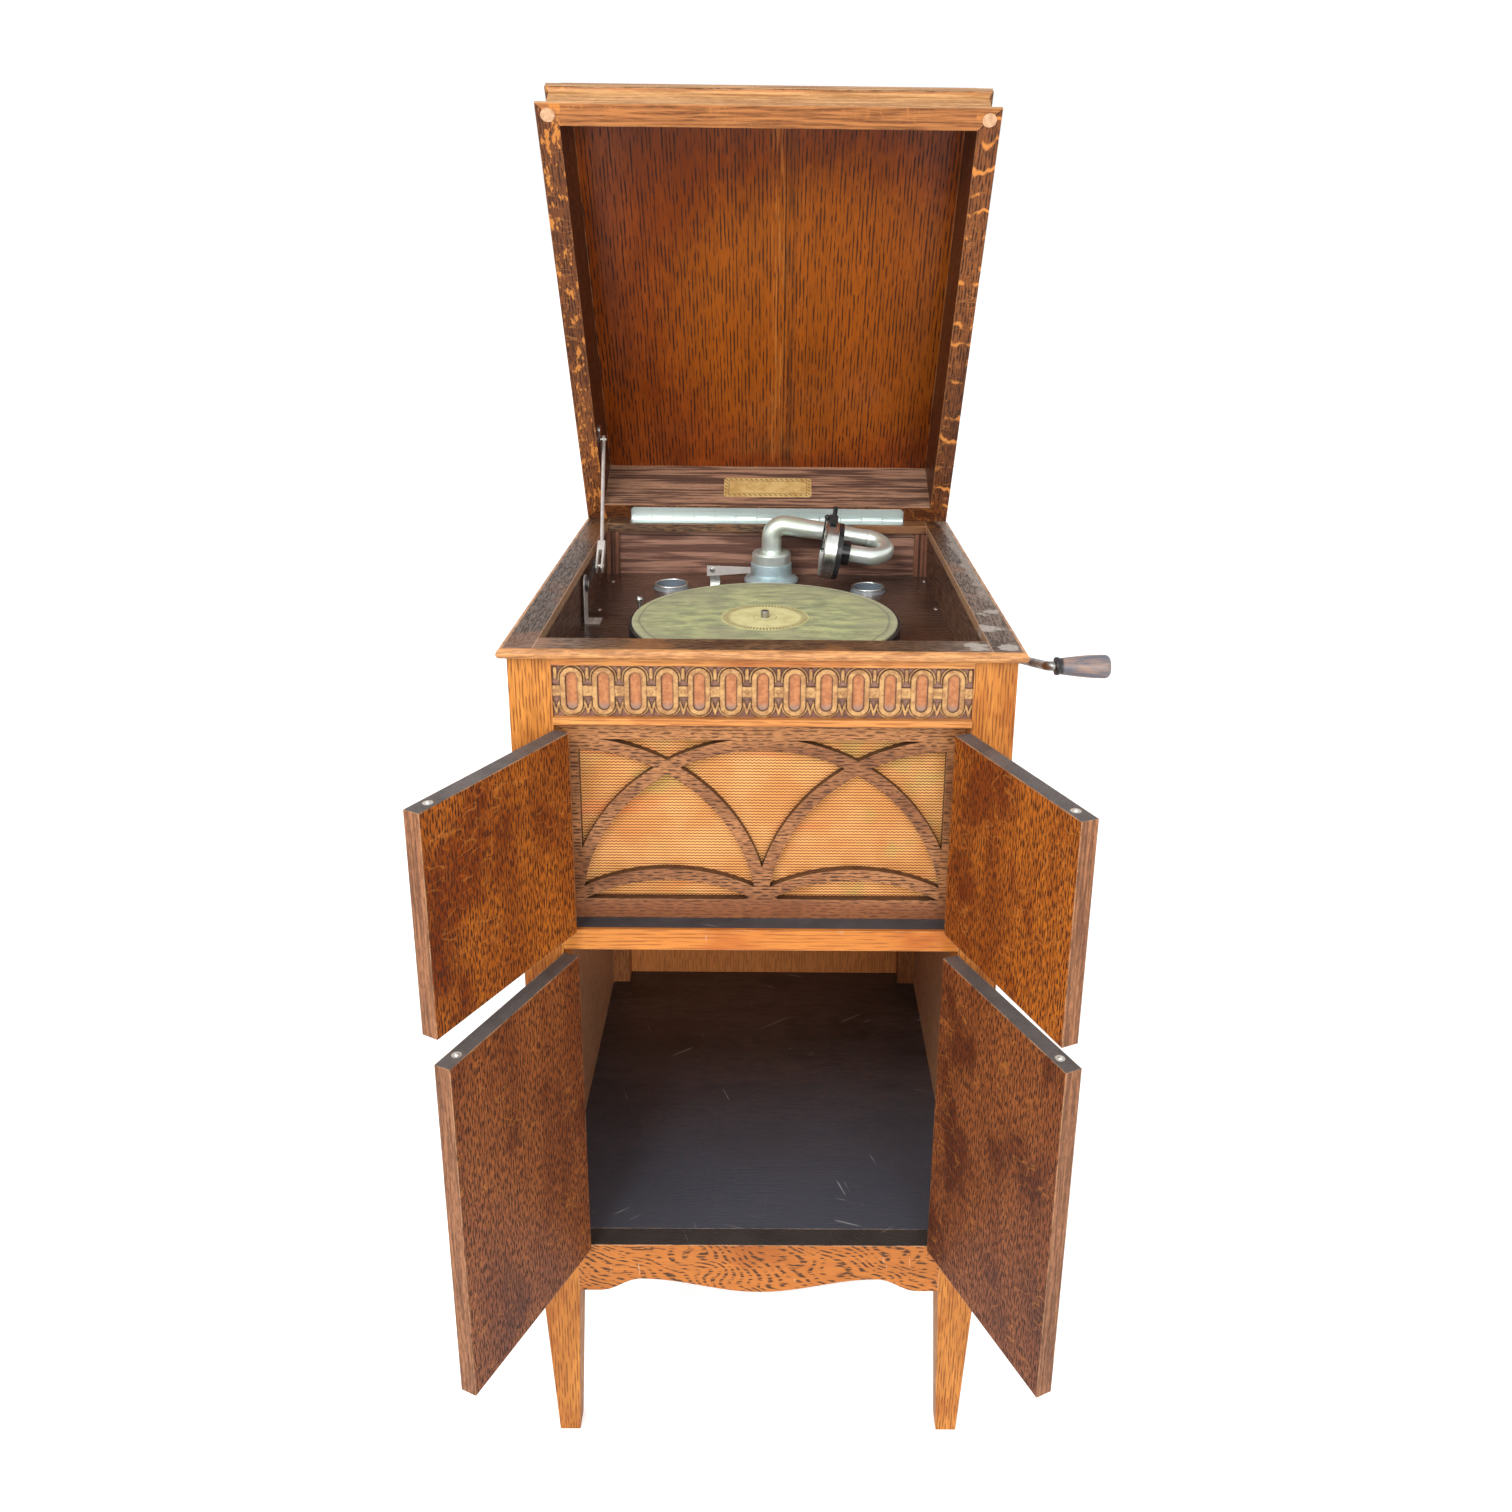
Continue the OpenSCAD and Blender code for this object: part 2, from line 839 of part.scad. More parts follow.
// Lower ends of the two hinges of a door
function butt_heights(z, h) = [z + butt_inset, z + h - butt_inset - butt_len];

// Depth of the catches and strikes behind the front of the posts
function strike_y() = front_y + 0.3 + door_t / 2;

// Recess for a strike plate, open downwards
module strike_recess() {
  box([-9, -4.5, 0], [9, 4.5, strike_t + eps]);
}

// A strike plate with its dimple
module strike() {
  difference() {
    box([-9, -4.5, 0], [9, 4.5, strike_t]);
    translate([0, 0, -1.6])
      sphere(r = catch_ball_r, $fn = 32);
  }
}

// Knuckles of a butt hinge: odd ones belong to the case, even ones to the door
module butt_knuckles(first, hole) {
  step = butt_len / 5;
  for (i = [first : 2 : 4])
    translate([0, 0, i * step + 0.1])
      difference() {
        cylinder(h = step - 0.2, r = butt_r);
        if (hole)
          translate([0, 0, -1])
            cylinder(h = step + 2, r = butt_pin_r + run_gap);
      }
}

// Room round the other leaf's knuckles
module butt_relief(first) {
  step = butt_len / 5;
  for (i = [first : 2 : 4])
    translate([0, 0, i * step - 0.1])
      cylinder(h = step + 0.2, r = butt_r + air);
}

// The case's leaf of a left door's hinge, standing on its pin's lower end
module butt_case_leaf() {
  butt_knuckles(0, false);
  cylinder(h = butt_len, r = butt_pin_r);
  difference() {
    box([-butt_leaf_t, 0, 0], [0, butt_leaf, butt_len]);
    butt_relief(1);
  }
}

// The door's leaf of a left door's hinge
module butt_door_leaf() {
  butt_knuckles(1, true);
  difference() {
    box([door_side_gap, 0, 0], [door_side_gap + butt_leaf_t, butt_leaf, butt_len]);
    butt_relief(0);
    translate([0, 0, -1])
      cylinder(h = butt_len + 2, r = butt_pin_r + run_gap);
  }
}

// Hinge leaves in the front posts and strikes over the doors
module case_door_fittings() {
  heights = concat(butt_heights(upper_door_z, upper_door_h), butt_heights(lower_door_z, lower_door_h));
  color("darkgoldenrod") {
    for (side = [0, 1], z = heights)
      mirror([side, 0, 0])
        translate([-open_x, butt_y, z])
          butt_case_leaf();
    for (side = [-1, 1], z = [shelf_z, head_z])
      translate([side * catch_in, strike_y(), z])
        strike();
  }
}

// A left door with its mortises, its pin on the Z axis
module door_leaf(h) {
  depth_from = front_y + 0.3 - butt_y;
  difference() {
    box([door_side_gap, depth_from, 0], [door_side_gap + door_w, depth_from + door_t, h]);
    for (z = butt_heights(0, h)) {
      box([door_side_gap - 1, -1, z], [door_side_gap + butt_leaf_t, butt_leaf, z + butt_len]);
      translate([0, 0, z])
        cylinder(h = butt_len, r = butt_r + air);
    }
    translate([open_x - catch_in, depth_from + door_t / 2, h - 12])
      cylinder(h = 13, r = 3.6);
    translate([open_x - catch_in, depth_from + door_t / 2, h - 0.8])
      cylinder(h = 2, r = catch_r);
  }
}

// The door's own fittings: hinge leaves and a ball catch in its top edge
module door_fittings(h) {
  depth_from = front_y + 0.3 - butt_y;
  for (z = butt_heights(0, h))
    translate([0, 0, z])
      butt_door_leaf();
  translate([open_x - catch_in, depth_from + door_t / 2, h - 12]) {
    cylinder(h = 12, r = 3.6);
    translate([0, 0, 11.2])
      cylinder(h = 0.8, r = catch_r);
    translate([0, 0, 11.2])
      sphere(r = catch_ball_r, $fn = 32);
  }
}

// Puts a door's pieces on its pin, opened by an angle
module hang_door(right, z, angle) {
  mirror([right ? 1 : 0, 0, 0])
    translate([-open_x, butt_y, z])
      rotate([0, 0, -angle])
        children();
}

module door_upper_left() {
  color("sienna")
    hang_door(false, upper_door_z, open_upper_left)
      door_leaf(upper_door_h);
}

module door_upper_right() {
  color("sienna")
    hang_door(true, upper_door_z, open_upper_right)
      door_leaf(upper_door_h);
}

module door_lower_left() {
  color("sienna")
    hang_door(false, lower_door_z, open_lower_left)
      door_leaf(lower_door_h);
}

module door_lower_right() {
  color("sienna")
    hang_door(true, lower_door_z, open_lower_right)
      door_leaf(lower_door_h);
}

module fittings_upper_left() {
  color("silver")
    hang_door(false, upper_door_z, open_upper_left)
      door_fittings(upper_door_h);
}

module fittings_upper_right() {
  color("silver")
    hang_door(true, upper_door_z, open_upper_right)
      door_fittings(upper_door_h);
}

module fittings_lower_left() {
  color("silver")
    hang_door(false, lower_door_z, open_lower_left)
      door_fittings(lower_door_h);
}

module fittings_lower_right() {
  color("silver")
    hang_door(true, lower_door_z, open_lower_right)
      door_fittings(lower_door_h);
}

// ---- lid

// Turns a closed lid's pieces about its hinge to their open place
module opened() {
  translate([0, hinge_y, hinge_z])
    rotate([-lid_open, 0, 0])
      translate([0, -hinge_y, -hinge_z])
        children();
}

// Box in the lid, inset from its outer faces, from height v0 to v1
module lid_tier(inset, v0, v1) {
  box([-lid_half + inset, lid_front_y + inset, lid_z + v0],
    [lid_half - inset, lid_back_y - inset, lid_z + v1]);
}

// Outer face of a lid wall: ledge, hollow and the step under the slab
module lid_wall_section() {
  cove = 8;
  top_v = lid_wall_h;
  polygon(concat([[lid_wall, 0], [0, 0], [0, ledge_h - 2], [1.2, ledge_h], [ledge_in, ledge_h]],
    [for (a = [0 : 15 : 90]) [ledge_in - cove * 0.6 * (1 - cos(a)), top_v - cove + cove * sin(a)]],
    [[lid_wall, top_v]]));
}

// A lid wall along X with mitred ends, its outer face on the plane y = 0
module lid_wall_run(len) {
  intersection() {
    rotate([90, 0, 90])
      linear_extrude(len)
        lid_wall_section();
    linear_extrude(lid_wall_h)
      polygon([[0, 0], [len, 0], [len - lid_wall, lid_wall], [lid_wall, lid_wall]]);
  }
}

module lid_frame() {
  depth = lid_back_y - lid_front_y;
  color("sienna")
    opened()
      translate([0, 0, lid_z]) {
        translate([-lid_half, lid_front_y, 0])
          lid_wall_run(2 * lid_half);
        translate([lid_half, lid_front_y, 0])
          rotate([0, 0, 90])
            lid_wall_run(depth);
        translate([-lid_half, lid_back_y, 0])
          rotate([0, 0, -90])
            lid_wall_run(depth);
        difference() {
          translate([lid_half, lid_back_y, 0])
            rotate([0, 0, 180])
              lid_wall_run(2 * lid_half);
          translate([0, 0, -lid_z])
            piano_recess(lid_z - 1, piano_leaf_w);
        }
      }
}

// The slab over the walls and the raised middle, hollow below
module lid_top() {
  block_z = lid_wall_h + lid_slab_t;
  color("saddlebrown")
    opened()
      difference() {
        union() {
          lid_tier(slab_in, lid_wall_h, block_z);
          lid_tier(lid_block_in, block_z - eps, block_z + lid_block_h - 8);
          lid_tier(lid_block_in + 5, block_z + lid_block_h - 8 - eps, block_z + lid_block_h);
        }
        lid_tier(lid_wall, lid_wall_h - 1, lid_hollow);
      }
}

// Wooden buffers let into the lid's edge at the front corners
module lid_buffers() {
  inset = 12.5;
  color("burlywood")
    opened()
      for (side = [-1, 1])
        translate([side * (lid_half - inset), lid_front_y + inset, lid_z - 0.7])
          cylinder(h = 0.7, r = buffer_r);
}

module lid_plaque() {
  low = 20;
  color("gold")
    opened()
      facing(lid_back_y - lid_wall - 0.8, 0.8)
        translate([0, lid_z + low + plaque_h / 2])
          rotate(90)
            oblong_plate(plaque_h, plaque_w, 5);
}

// A plate with rounded corners, w across and h along
module oblong_plate(w, h, r) {
  square([w - 2 * r, h], center = true);
  square([w, h - 2 * r], center = true);
  for (x = [-1, 1], y = [-1, 1])
    translate([x * (w / 2 - r), y * (h / 2 - r)])
      circle(r = r);
}

// Recess for one leaf of the piano hinge and its knuckles
module piano_recess(z, width) {
  box([-piano_len / 2 - air, hinge_y - width - air, z],
    [piano_len / 2 + air, hinge_y + 5, z + piano_leaf_t + 1]);
  x_rod(-piano_len / 2 - air, hinge_y, hinge_z, piano_len + 2 * air, piano_r + air);
}

// Outline of a piano hinge leaf with rounded outer corners
module piano_plan(width) {
  r = 7;
  translate([-piano_len / 2, hinge_y - width])
    difference() {
      square([piano_len, width]);
      for (side = [0, 1])
        translate([side * piano_len, 0])
          mirror([side, 0])
            difference() {
              translate([-1, -1])
                square(r + 1);
              translate([r, r])
                circle(r = r);
            }
    }
}

// Knuckles from the first of every second place
module piano_row(first, r, more) {
  for (i = [first : 2 : piano_knuckles - 1])
    x_rod(-piano_len / 2 + i * piano_step - more, hinge_y, hinge_z, piano_step + 2 * more, r);
}

module piano_leaf_case() {
  color("silver") {
    difference() {
      translate([0, 0, rim_top - piano_leaf_t])
        linear_extrude(piano_leaf_t)
          piano_plan(piano_case_w);
      piano_row(1, piano_r + air, 0.1);
    }
    piano_row(0, piano_r, -0.1);
    x_rod(-piano_len / 2 + 1, hinge_y, hinge_z, piano_len - 2, piano_pin_r);
  }
}

module piano_leaf_lid() {
  color("silver")
    opened()
      difference() {
        union() {
          difference() {
            translate([0, 0, lid_z])
              linear_extrude(piano_leaf_t)
                piano_plan(piano_leaf_w);
            piano_row(0, piano_r + air, 0.1);
          }
          piano_row(1, piano_r, -0.1);
        }
        x_rod(-piano_len / 2 - 1, hinge_y, hinge_z, piano_len + 2, piano_pin_r + run_gap);
      }
}

// ---- lid stay

// A plate on the lid's inner side with the stud of the rod
module stay_lid_plate() {
  color("silver")
    opened() {
      y = rim_back_y - stay_u;
      z = lid_z + stay_v;
      sideways(-lid_in_half, 1.5)
        translate([y, z])
          rotate(90)
            oblong(14, 44);
      x_rod(-lid_in_half + 1, y, z, stay_hook_x + lid_in_half + 2.2, 2);
      x_rod(stay_hook_x + 1.9, y, z, 1, 3.2);
    }
}

// The rod with its eye at the lid and its fork at the lever
module stay_rod() {
  way_y = stay_top_y - stay_low_y;
  way_z = stay_top_z - stay_low_z;
  way = norm([way_y, way_z]);
  tilt = atan2(way_z, way_y);
  fork_len = 42;
  leg = 2.4;
  neck = [stay_rod_x, stay_low_y + way_y * (fork_len - 8) / way, stay_low_z + way_z * (fork_len - 8) / way];
  eye = [stay_hook_x, stay_top_y - way_y * 5 / way, stay_top_z - way_z * 5 / way];
  color("silver") {
    rod(neck, eye, 2.3);
    difference() {
      x_rod(stay_hook_x - 1.6, stay_top_y, stay_top_z, 3.2, 5.5);
      x_rod(stay_hook_x - 2, stay_top_y, stay_top_z, 4, 2 + run_gap);
    }
    translate([stay_fork_x, stay_low_y, stay_low_z])
      rotate([tilt, 0, 0])
        difference() {
          box([0, -7, -5.5], [stay_fork_w, fork_len - 7, 5.5]);
          box([leg, -8, -6], [stay_fork_w - leg, fork_len - 21, 6]);
        }
    x_rod(stay_fork_x - 0.3, stay_low_y, stay_low_z, stay_fork_w + 1.3, 2.2);
  }
}

// The lever that links the bracket and the rod's fork
module stay_lever() {
  drop = atan2(stay_low_z - stay_pin_z, stay_lever_len);
  color("dimgray")
    difference() {
      union() {
        translate([stay_lever_x, stay_pin_y, stay_pin_z])
          rotate([drop, 0, 0]) {
            box([0, 0, -5.5], [stay_lever_t, stay_lever_len, 5.5]);
            x_rod(0, stay_lever_len, 0, stay_lever_t, 8);
          }
        x_rod(stay_lever_x, stay_pin_y, stay_pin_z, stay_lever_t, 9);
      }
      x_rod(stay_lever_x - 1, stay_pin_y, stay_pin_z, stay_lever_t + 2, 2.5 + run_gap);
    }
}

// The bracket on the motor board, with its foot turned inwards and its pin
module stay_bracket() {
  plate_w = 22;
  foot = 18;
  color("silver") {
    sideways(stay_x, stay_plate_t) {
      translate([stay_pin_y - plate_w / 2, board_top])
        square([plate_w, stay_pin_h]);
      translate([stay_pin_y, stay_pin_z])
        circle(d = plate_w);
    }
    box([stay_x, stay_pin_y - plate_w / 2, board_top],
      [stay_x + foot, stay_pin_y + plate_w / 2, board_top + stay_plate_t]);
    x_rod(stay_x + eps, stay_pin_y, stay_pin_z, stay_plate_t + stay_lever_t + 0.9, 2.5);
    x_rod(stay_lever_x + stay_lever_t + 0.2, stay_pin_y, stay_pin_z, 0.5, 4);
    for (y = [-6, 6])
      translate([stay_x + 11, stay_pin_y + y, board_top + stay_plate_t - 0.2])
        screw_head(3.2);
  }
}

// A domed screw head, flat side down
module screw_head(r) {
  ball = r * 1.3;
  difference() {
    translate([0, 0, -sqrt(ball * ball - r * r)])
      sphere(r = ball, $fn = 32);
    translate([0, 0, -2 * ball])
      cube(4 * ball, center = true);
  }
}

// ---- motor board and its fittings

module motor_board() {
  half = side_in_x - liner_t;
  color("saddlebrown")
    translate([0, 0, board_z])
      linear_extrude(board_t)
        difference() {
          union() {
            translate([-half, head_back_y])
              square([2 * half, well_back_y - head_back_y]);
            translate([-open_x, well_back_y - eps])
              square([2 * open_x, back_in_y - well_back_y + eps]);
          }
          translate([table_x, table_y])
            circle(r = 14);
          translate([arm_x, arm_y])
            circle(r = elbow_r + 0.2);
          for (side = [-1, 1])
            translate(cup_place(side))
              circle(r = cup_r - 4);
        }
}

// Place of a needle cup; the right one lies farther out and forward
function cup_place(side) = [side * cup_x + 4, arm_y - 40 - 4 * side];

// Boards that line the well's sides, with a ledge for the motor board
module well_liners() {
  foot = [[-side_in_x, ledge_z], [-side_in_x + ledge_w, ledge_z], [-side_in_x + ledge_w, board_z]];
  wall = [[-side_in_x + liner_t, board_z], [-side_in_x + liner_t, rim_z], [-side_in_x, rim_z]];
  color("saddlebrown")
    difference() {
      for (side = [0, 1])
        mirror([side, 0, 0])
          facing(head_back_y, well_back_y - head_back_y)
            polygon(concat(foot, wall));
      x_rod(0, barrel_y, shaft_z, case_w / 2, crank_r + 1.5);
    }
}

// Domed screws, the trip strip's bracket and the start lever's stud
module board_fittings() {
  trip = trip_pin();
  color("silver") {
    for (y = [arm_y - 8, arm_y - 140])
      translate([-side_in_x + liner_t + 12, y, board_top])
        screw_head(3.8);
    for (y = [arm_y + 7, arm_y - 124])
      translate([side_in_x - liner_t - 4.6, y, board_top])
        screw_head(3.8);
    box([trip.x - 3, trip.y + 1, board_top], [trip.x + 10, trip.y + 2.5, trip.z + 5]);
    box([trip.x - 3, trip.y - 11, board_top], [trip.x + 10, trip.y + 2.5, board_top + 1.5]);
    translate([trip.x, trip.y + 2, trip.z])
      rotate([90, 0, 0])
        cylinder(h = 5, r = 2);
    translate([trip.x, trip.y - 1.9, trip.z])
      rotate([90, 0, 0])
        cylinder(h = 0.9, r = 3.2);
    translate([start_pin().x, start_pin().y, board_top]) {
      cylinder(h = 1.4, r = 6);
      cylinder(h = 5, r = 2.5);
      translate([0, 0, 4.4])
        cylinder(h = 1.2, r = 4.5);
    }
  }
}

function trip_pin() = [arm_x - 77, arm_y - 25, board_top + 21.7];

// The start lever's stud lies so that its pad moves straight off the skirt
pad_angle = 152;
pad_arm = 45;
knob_dx = 151.6;
knob_dy = 118.4;
pad_r = platter_r + 2.8;
function pad_place() = [table_x + pad_r * cos(pad_angle), table_y + pad_r * sin(pad_angle)];
function start_pin() = pad_place() + pad_arm * [sin(pad_angle), -cos(pad_angle)];

// A strip on edge that the tone arm trips, riveted to its bracket
module trip_strip() {
  pin = trip_pin();
  color("gainsboro")
    difference() {
      facing(pin.y - 0.9, 1.5)
        translate([pin.x, pin.z])
          polygon([[-7, -8.5], [-7, 5.5], [50, 4], [50, -4]]);
      translate([pin.x, pin.y + 2, pin.z])
        rotate([90, 0, 0])
          cylinder(h = 5, r = 2 + run_gap);
    }
}

// The start lever: a strip, a ball-headed stem and the brake pad
module start_lever() {
  pin = start_pin();
  knob = [table_x - knob_dx, table_y + knob_dy];
  pad = pad_place();
  strip_z = board_top + 1.6;
  way = knob - [pin.x, pin.y];
  color("silver") {
    translate([pin.x, pin.y, strip_z])
      linear_extrude(1.8)
        difference() {
          union() {
            circle(r = 5);
            rotate(pad_angle + 90)
              translate([0, -3.5])
                square([pad_arm + 4, 7]);
            rotate(atan2(way.y, way.x))
              translate([0, -3.5])
                square([norm(way), 7]);
            translate(way)
              circle(r = 3.5);
          }
          circle(r = 2.5 + run_gap);
        }
    translate([knob.x, knob.y, strip_z + 1]) {
      cylinder(h = 14, r = 2);
      translate([0, 0, 17.4])
        sphere(r = 4.6, $fn = 40);
    }
    translate([pad.x, pad.y, strip_z + 1])
      rotate([0, 0, pad_angle])
        box([-2.4, -7, 0], [2.6, 7, felt_z - skirt_h + 8 - strip_z]);
  }
}

// Two cups for needles, let into the board with a rolled rim
module needle_cups() {
  color("silver")
    for (side = [-1, 1])
      translate([cup_place(side).x, cup_place(side).y, board_top])
        rotate_extrude() {
          difference() {
            union() {
              translate([0, 1 - board_t / 2])
                square([cup_r - 4.2, board_t / 2]);
              square([cup_r, 1.5]);
              square([cup_r - 1.5, cup_h - 1.5]);
            }
            translate([0, 2.2 - board_t / 2])
              square([cup_r - 5.8, board_t]);
            translate([cup_r - 5.9, 2.5])
              square([2.6, cup_h]);
          }
          translate([cup_r - 2.4, cup_h - 1.5])
            circle(r = 1.5, $fn = 24);
        }
}

// ---- turntable and motor

module turntable_platter() {
  top = felt_z;
  color("dimgray")
    translate([table_x, table_y, 0])
      rotate_extrude($fn = 128)
        difference() {
          union() {
            translate([0, top - platter_t])
              square([platter_r, platter_t]);
            translate([platter_r - 3, top - skirt_h])
              square([3, skirt_h]);
            translate([0, top - 18])
              square([13, 18]);
          }
          translate([0, top - 30])
            square([spindle_r + 1, 60]);
        }
}

module turntable_felt() {
  color("olive")
    translate([table_x, table_y, felt_z])
      difference() {
        cylinder(h = felt_t, r = felt_r, $fn = 128);
        translate([0, 0, -1])
          cylinder(h = felt_t + 2, r = spindle_r + 1);
      }
}

module turntable_label() {
  color("khaki")
    translate([table_x, table_y, felt_top])
      difference() {
        cylinder(h = 0.4, r = label_r, $fn = 96);
        translate([0, 0, -1])
          cylinder(h = 3, r = spindle_r + 1);
      }
}

// The upright spindle with its seat, its pinion and the governor's wheel
module turntable_spindle() {
  color("lightgray")
    translate([table_x, table_y, 0]) {
      translate([0, 0, motor_z + air])
        cylinder(h = plate_t - air + eps, r = arbor_r);
      translate([0, 0, motor_z + plate_t])
        cylinder(h = felt_top - 18 - felt_t - motor_z - plate_t, r = 4.5);
      translate([0, 0, felt_z - 18])
        cylinder(h = platter_h + 7 - (felt_z - 18 - board_top), r = spindle_r + 1);
      translate([0, 0, felt_top + 7 - eps])
        cylinder(h = 1, r1 = spindle_r + 1, r2 = spindle_r);
      translate([0, 0, wheel_z - 1])
        rotate([0, 0, to_spindle + 180])
          linear_extrude(wheel_t + 2)
            rotate(180 / spindle_teeth)
              gear_outline(spindle_teeth, wheel_module);
      translate([0, 0, governor_z - 2])
        cylinder(h = 4, r = governor_wheel_r, $fn = 96);
    }
}

module intermediate_arbor() {
  color("darkkhaki")
    translate([arbor_x, arbor_y, 0]) {
      translate([0, 0, motor_z + air])
        cylinder(h = plate_t - air + eps, r = arbor_r);
      translate([0, 0, motor_z + plate_t])
        cylinder(h = wheel_z + wheel_t + 3 - motor_z - plate_t, r = 4);
      translate([0, 0, wheel_z + wheel_t + 3 - eps])
        cylinder(h = motor_top - 2 - wheel_z - wheel_t - 3, r = arbor_r);
      translate([0, 0, great_z - 1])
        rotate([0, 0, arbor_angle + 180])
          linear_extrude(great_t + 2)
            rotate(180 / pinion_teeth)
              gear_outline(pinion_teeth, great_module);
      translate([0, 0, wheel_z])
        rotate([0, 0, to_spindle])
          linear_extrude(wheel_t)
            gear_outline(wheel_teeth, wheel_module);
    }
}

module spring_barrel() {
  low = motor_z + plate_t + 1;
  color("gray")
    translate([barrel_x, barrel_y, 0]) {
      translate([0, 0, motor_z + air])
        cylinder(h = low - motor_z - air + eps, r = arbor_r + 1);
      translate([0, 0, low])
        cylinder(h = great_z - low, r = barrel_r);
      translate([0, 0, great_z - eps])
        rotate([0, 0, arbor_angle])
          linear_extrude(great_t)
            gear_outline(great_teeth, great_module);
      translate([0, 0, great_z + great_t - 2 * eps])
        cylinder(h = 4, r = arbor_r + 1);
    }
}

// The governor: its worm, its sleeve and brake disc, and the sprung weights
module governor() {
  from_x = table_x - 34;
  len = 92;
  disc_x = from_x + 80;
  hub_x = from_x + 48;
  color("darkgoldenrod") {
    x_rod(from_x, governor_y, governor_z, len, 2);
    x_rod(table_x - 12, governor_y, governor_z, 24, worm_r);
    x_rod(hub_x, governor_y, governor_z, 5, 6);
    x_rod(disc_x, governor_y, governor_z, 2, 14);
    x_rod(disc_x - 6, governor_y, governor_z, 7, 5);
    for (i = [0 : weight_count - 1])
      translate([0, governor_y, governor_z])
        rotate([i * 360 / weight_count, 0, 0]) {
          box([hub_x + 2, -2.5, 4], [hub_x + 3, 2.5, 11.5]);
          box([disc_x - 4, -2.5, 4], [disc_x - 3, 2.5, 11.5]);
          box([hub_x + 2, -2.5, 10.5], [disc_x - 3, 2.5, 11.5]);
          x_rod((hub_x + disc_x) / 2 - 4, 0, 12, 7, 4.5);
        }
  }
}

// The motor's plates and pillars, with the closed winding box
module motor_frame() {
  low_x = barrel_x - frame_left;
  high_x = table_x + frame_right;
  low_y = governor_y - frame_front;
  high_y = barrel_y + frame_back;
  pillars = [for (x = [low_x + 7, high_x - 7], y = [low_y + 7, high_y - 7]) [x, y]];
  box_half = 13;
  color("slategray")
    difference() {
      union() {
        box([low_x, low_y, motor_z], [high_x, high_y, motor_z + plate_t]);
        box([low_x, low_y, motor_top - plate_t], [high_x, high_y, motor_top]);
        for (p = pillars)
          translate([p.x, p.y, motor_z + eps])
            cylinder(h = motor_top - motor_z - 2 * eps, r = 5);
        box([barrel_x - box_half, barrel_y - box_half, great_z + great_t + 2],
          [barrel_x + box_half, barrel_y + box_half, motor_top - eps]);
        for (x = [table_x - 32, table_x + 52])
          box([x, governor_y - 6, motor_z + eps], [x + 4, governor_y + 6, governor_z + 7]);
      }
      translate([table_x, table_y, motor_z - 1]) {
        cylinder(h = plate_t + 2, r = arbor_r + run_gap);
        translate([0, 0, motor_top - motor_z - plate_t])
          cylinder(h = plate_t + 2, r = 4.5 + run_gap);
      }
      translate([arbor_x, arbor_y, motor_z - 1])
        cylinder(h = motor_top - motor_z + 2, r = arbor_r + run_gap);
      translate([barrel_x, barrel_y, motor_z - 1])
        cylinder(h = great_z + great_t + 5 - motor_z, r = arbor_r + 1 + run_gap);
      x_rod(barrel_x + 2, barrel_y, shaft_z, 40, crank_r + run_gap);
      x_rod(table_x - 40, governor_y, governor_z, 120, 2 + run_gap);
    }
}

// ---- crank

// Places a drawing made with the shaft on the X axis and the arm along -Y
module at_crank() {
  translate([0, barrel_y, shaft_z])
    rotate([-crank_lift, 0, 0])
      children();
}

module crank_rod() {
  bend = 12;
  arm_plane = case_w / 2 + crank_out;
  shaft_in = barrel_x + 3;
  grip_end = arm_plane + grip_gap + grip_len;
  color("gray")
    at_crank() {
      x_rod(shaft_in, 0, 0, arm_plane - bend - shaft_in, crank_r);
      translate([arm_plane - bend, -bend, 0])
        rotate_extrude(angle = 90)
          translate([bend, 0])
            circle(r = crank_r, $fn = 40);
      translate([arm_plane, eps - bend, 0])
        rotate([90, 0, 0])
          cylinder(h = crank_throw - bend - grip_bend + 2 * eps, r = crank_r);
      translate([arm_plane + grip_bend, grip_bend - crank_throw, 0])
        rotate([0, 0, 180])
          rotate_extrude(angle = 90)
            translate([grip_bend, 0])
              circle(r = crank_r, $fn = 40);
      x_rod(arm_plane + grip_bend - eps, -crank_throw, 0, grip_end - 3 - arm_plane - grip_bend, grip_pin_r);
      x_rod(grip_end - 4.8, -crank_throw, 0, 2, 5);
    }
}

// The turned grip, swelling to its rounded outer end
module crank_grip() {
  color("black")
    at_crank()
      translate([case_w / 2 + crank_out + grip_gap, -crank_throw, 0])
        rotate([0, 90, 0])
          difference() {
            rotate_extrude()
              polygon(grip_profile());
            translate([0, 0, -1])
              cylinder(h = grip_len, r = grip_pin_r + run_gap);
            translate([0, 0, grip_len - 5.1])
              cylinder(h = 20, r = 5.4);
          }
}

// Radius and length pairs of the grip's outline
function grip_profile() =
  let (neck = 0.68 * grip_r, round_len = 5)
  concat([[0, 0], [neck + 0.8, 0], [neck + 1.2, 2], [neck + 0.8, 4], [neck, 5]],
    [for (t = [0.1 : 0.1 : 1])
      [neck + (grip_r - neck) * sin(90 * t), 5 + (grip_len - 5 - round_len) * t]],
    [for (a = [30 : 30 : 90])
      [grip_r - round_len * (1 - cos(a)), grip_len - round_len + round_len * sin(a)]],
    [[0, grip_len]]);

module crank_escutcheon() {
  face = side_in_x + side_t;
  color("silver")
    difference() {
      union() {
        x_rod(face, barrel_y, shaft_z, 2, 17);
        x_rod(face - side_t, barrel_y, shaft_z, side_t + 4, crank_r + 2.8);
      }
      x_rod(face - side_t - 1, barrel_y, shaft_z, side_t + 8, crank_r + run_gap);
    }
}

// ---- tone arm

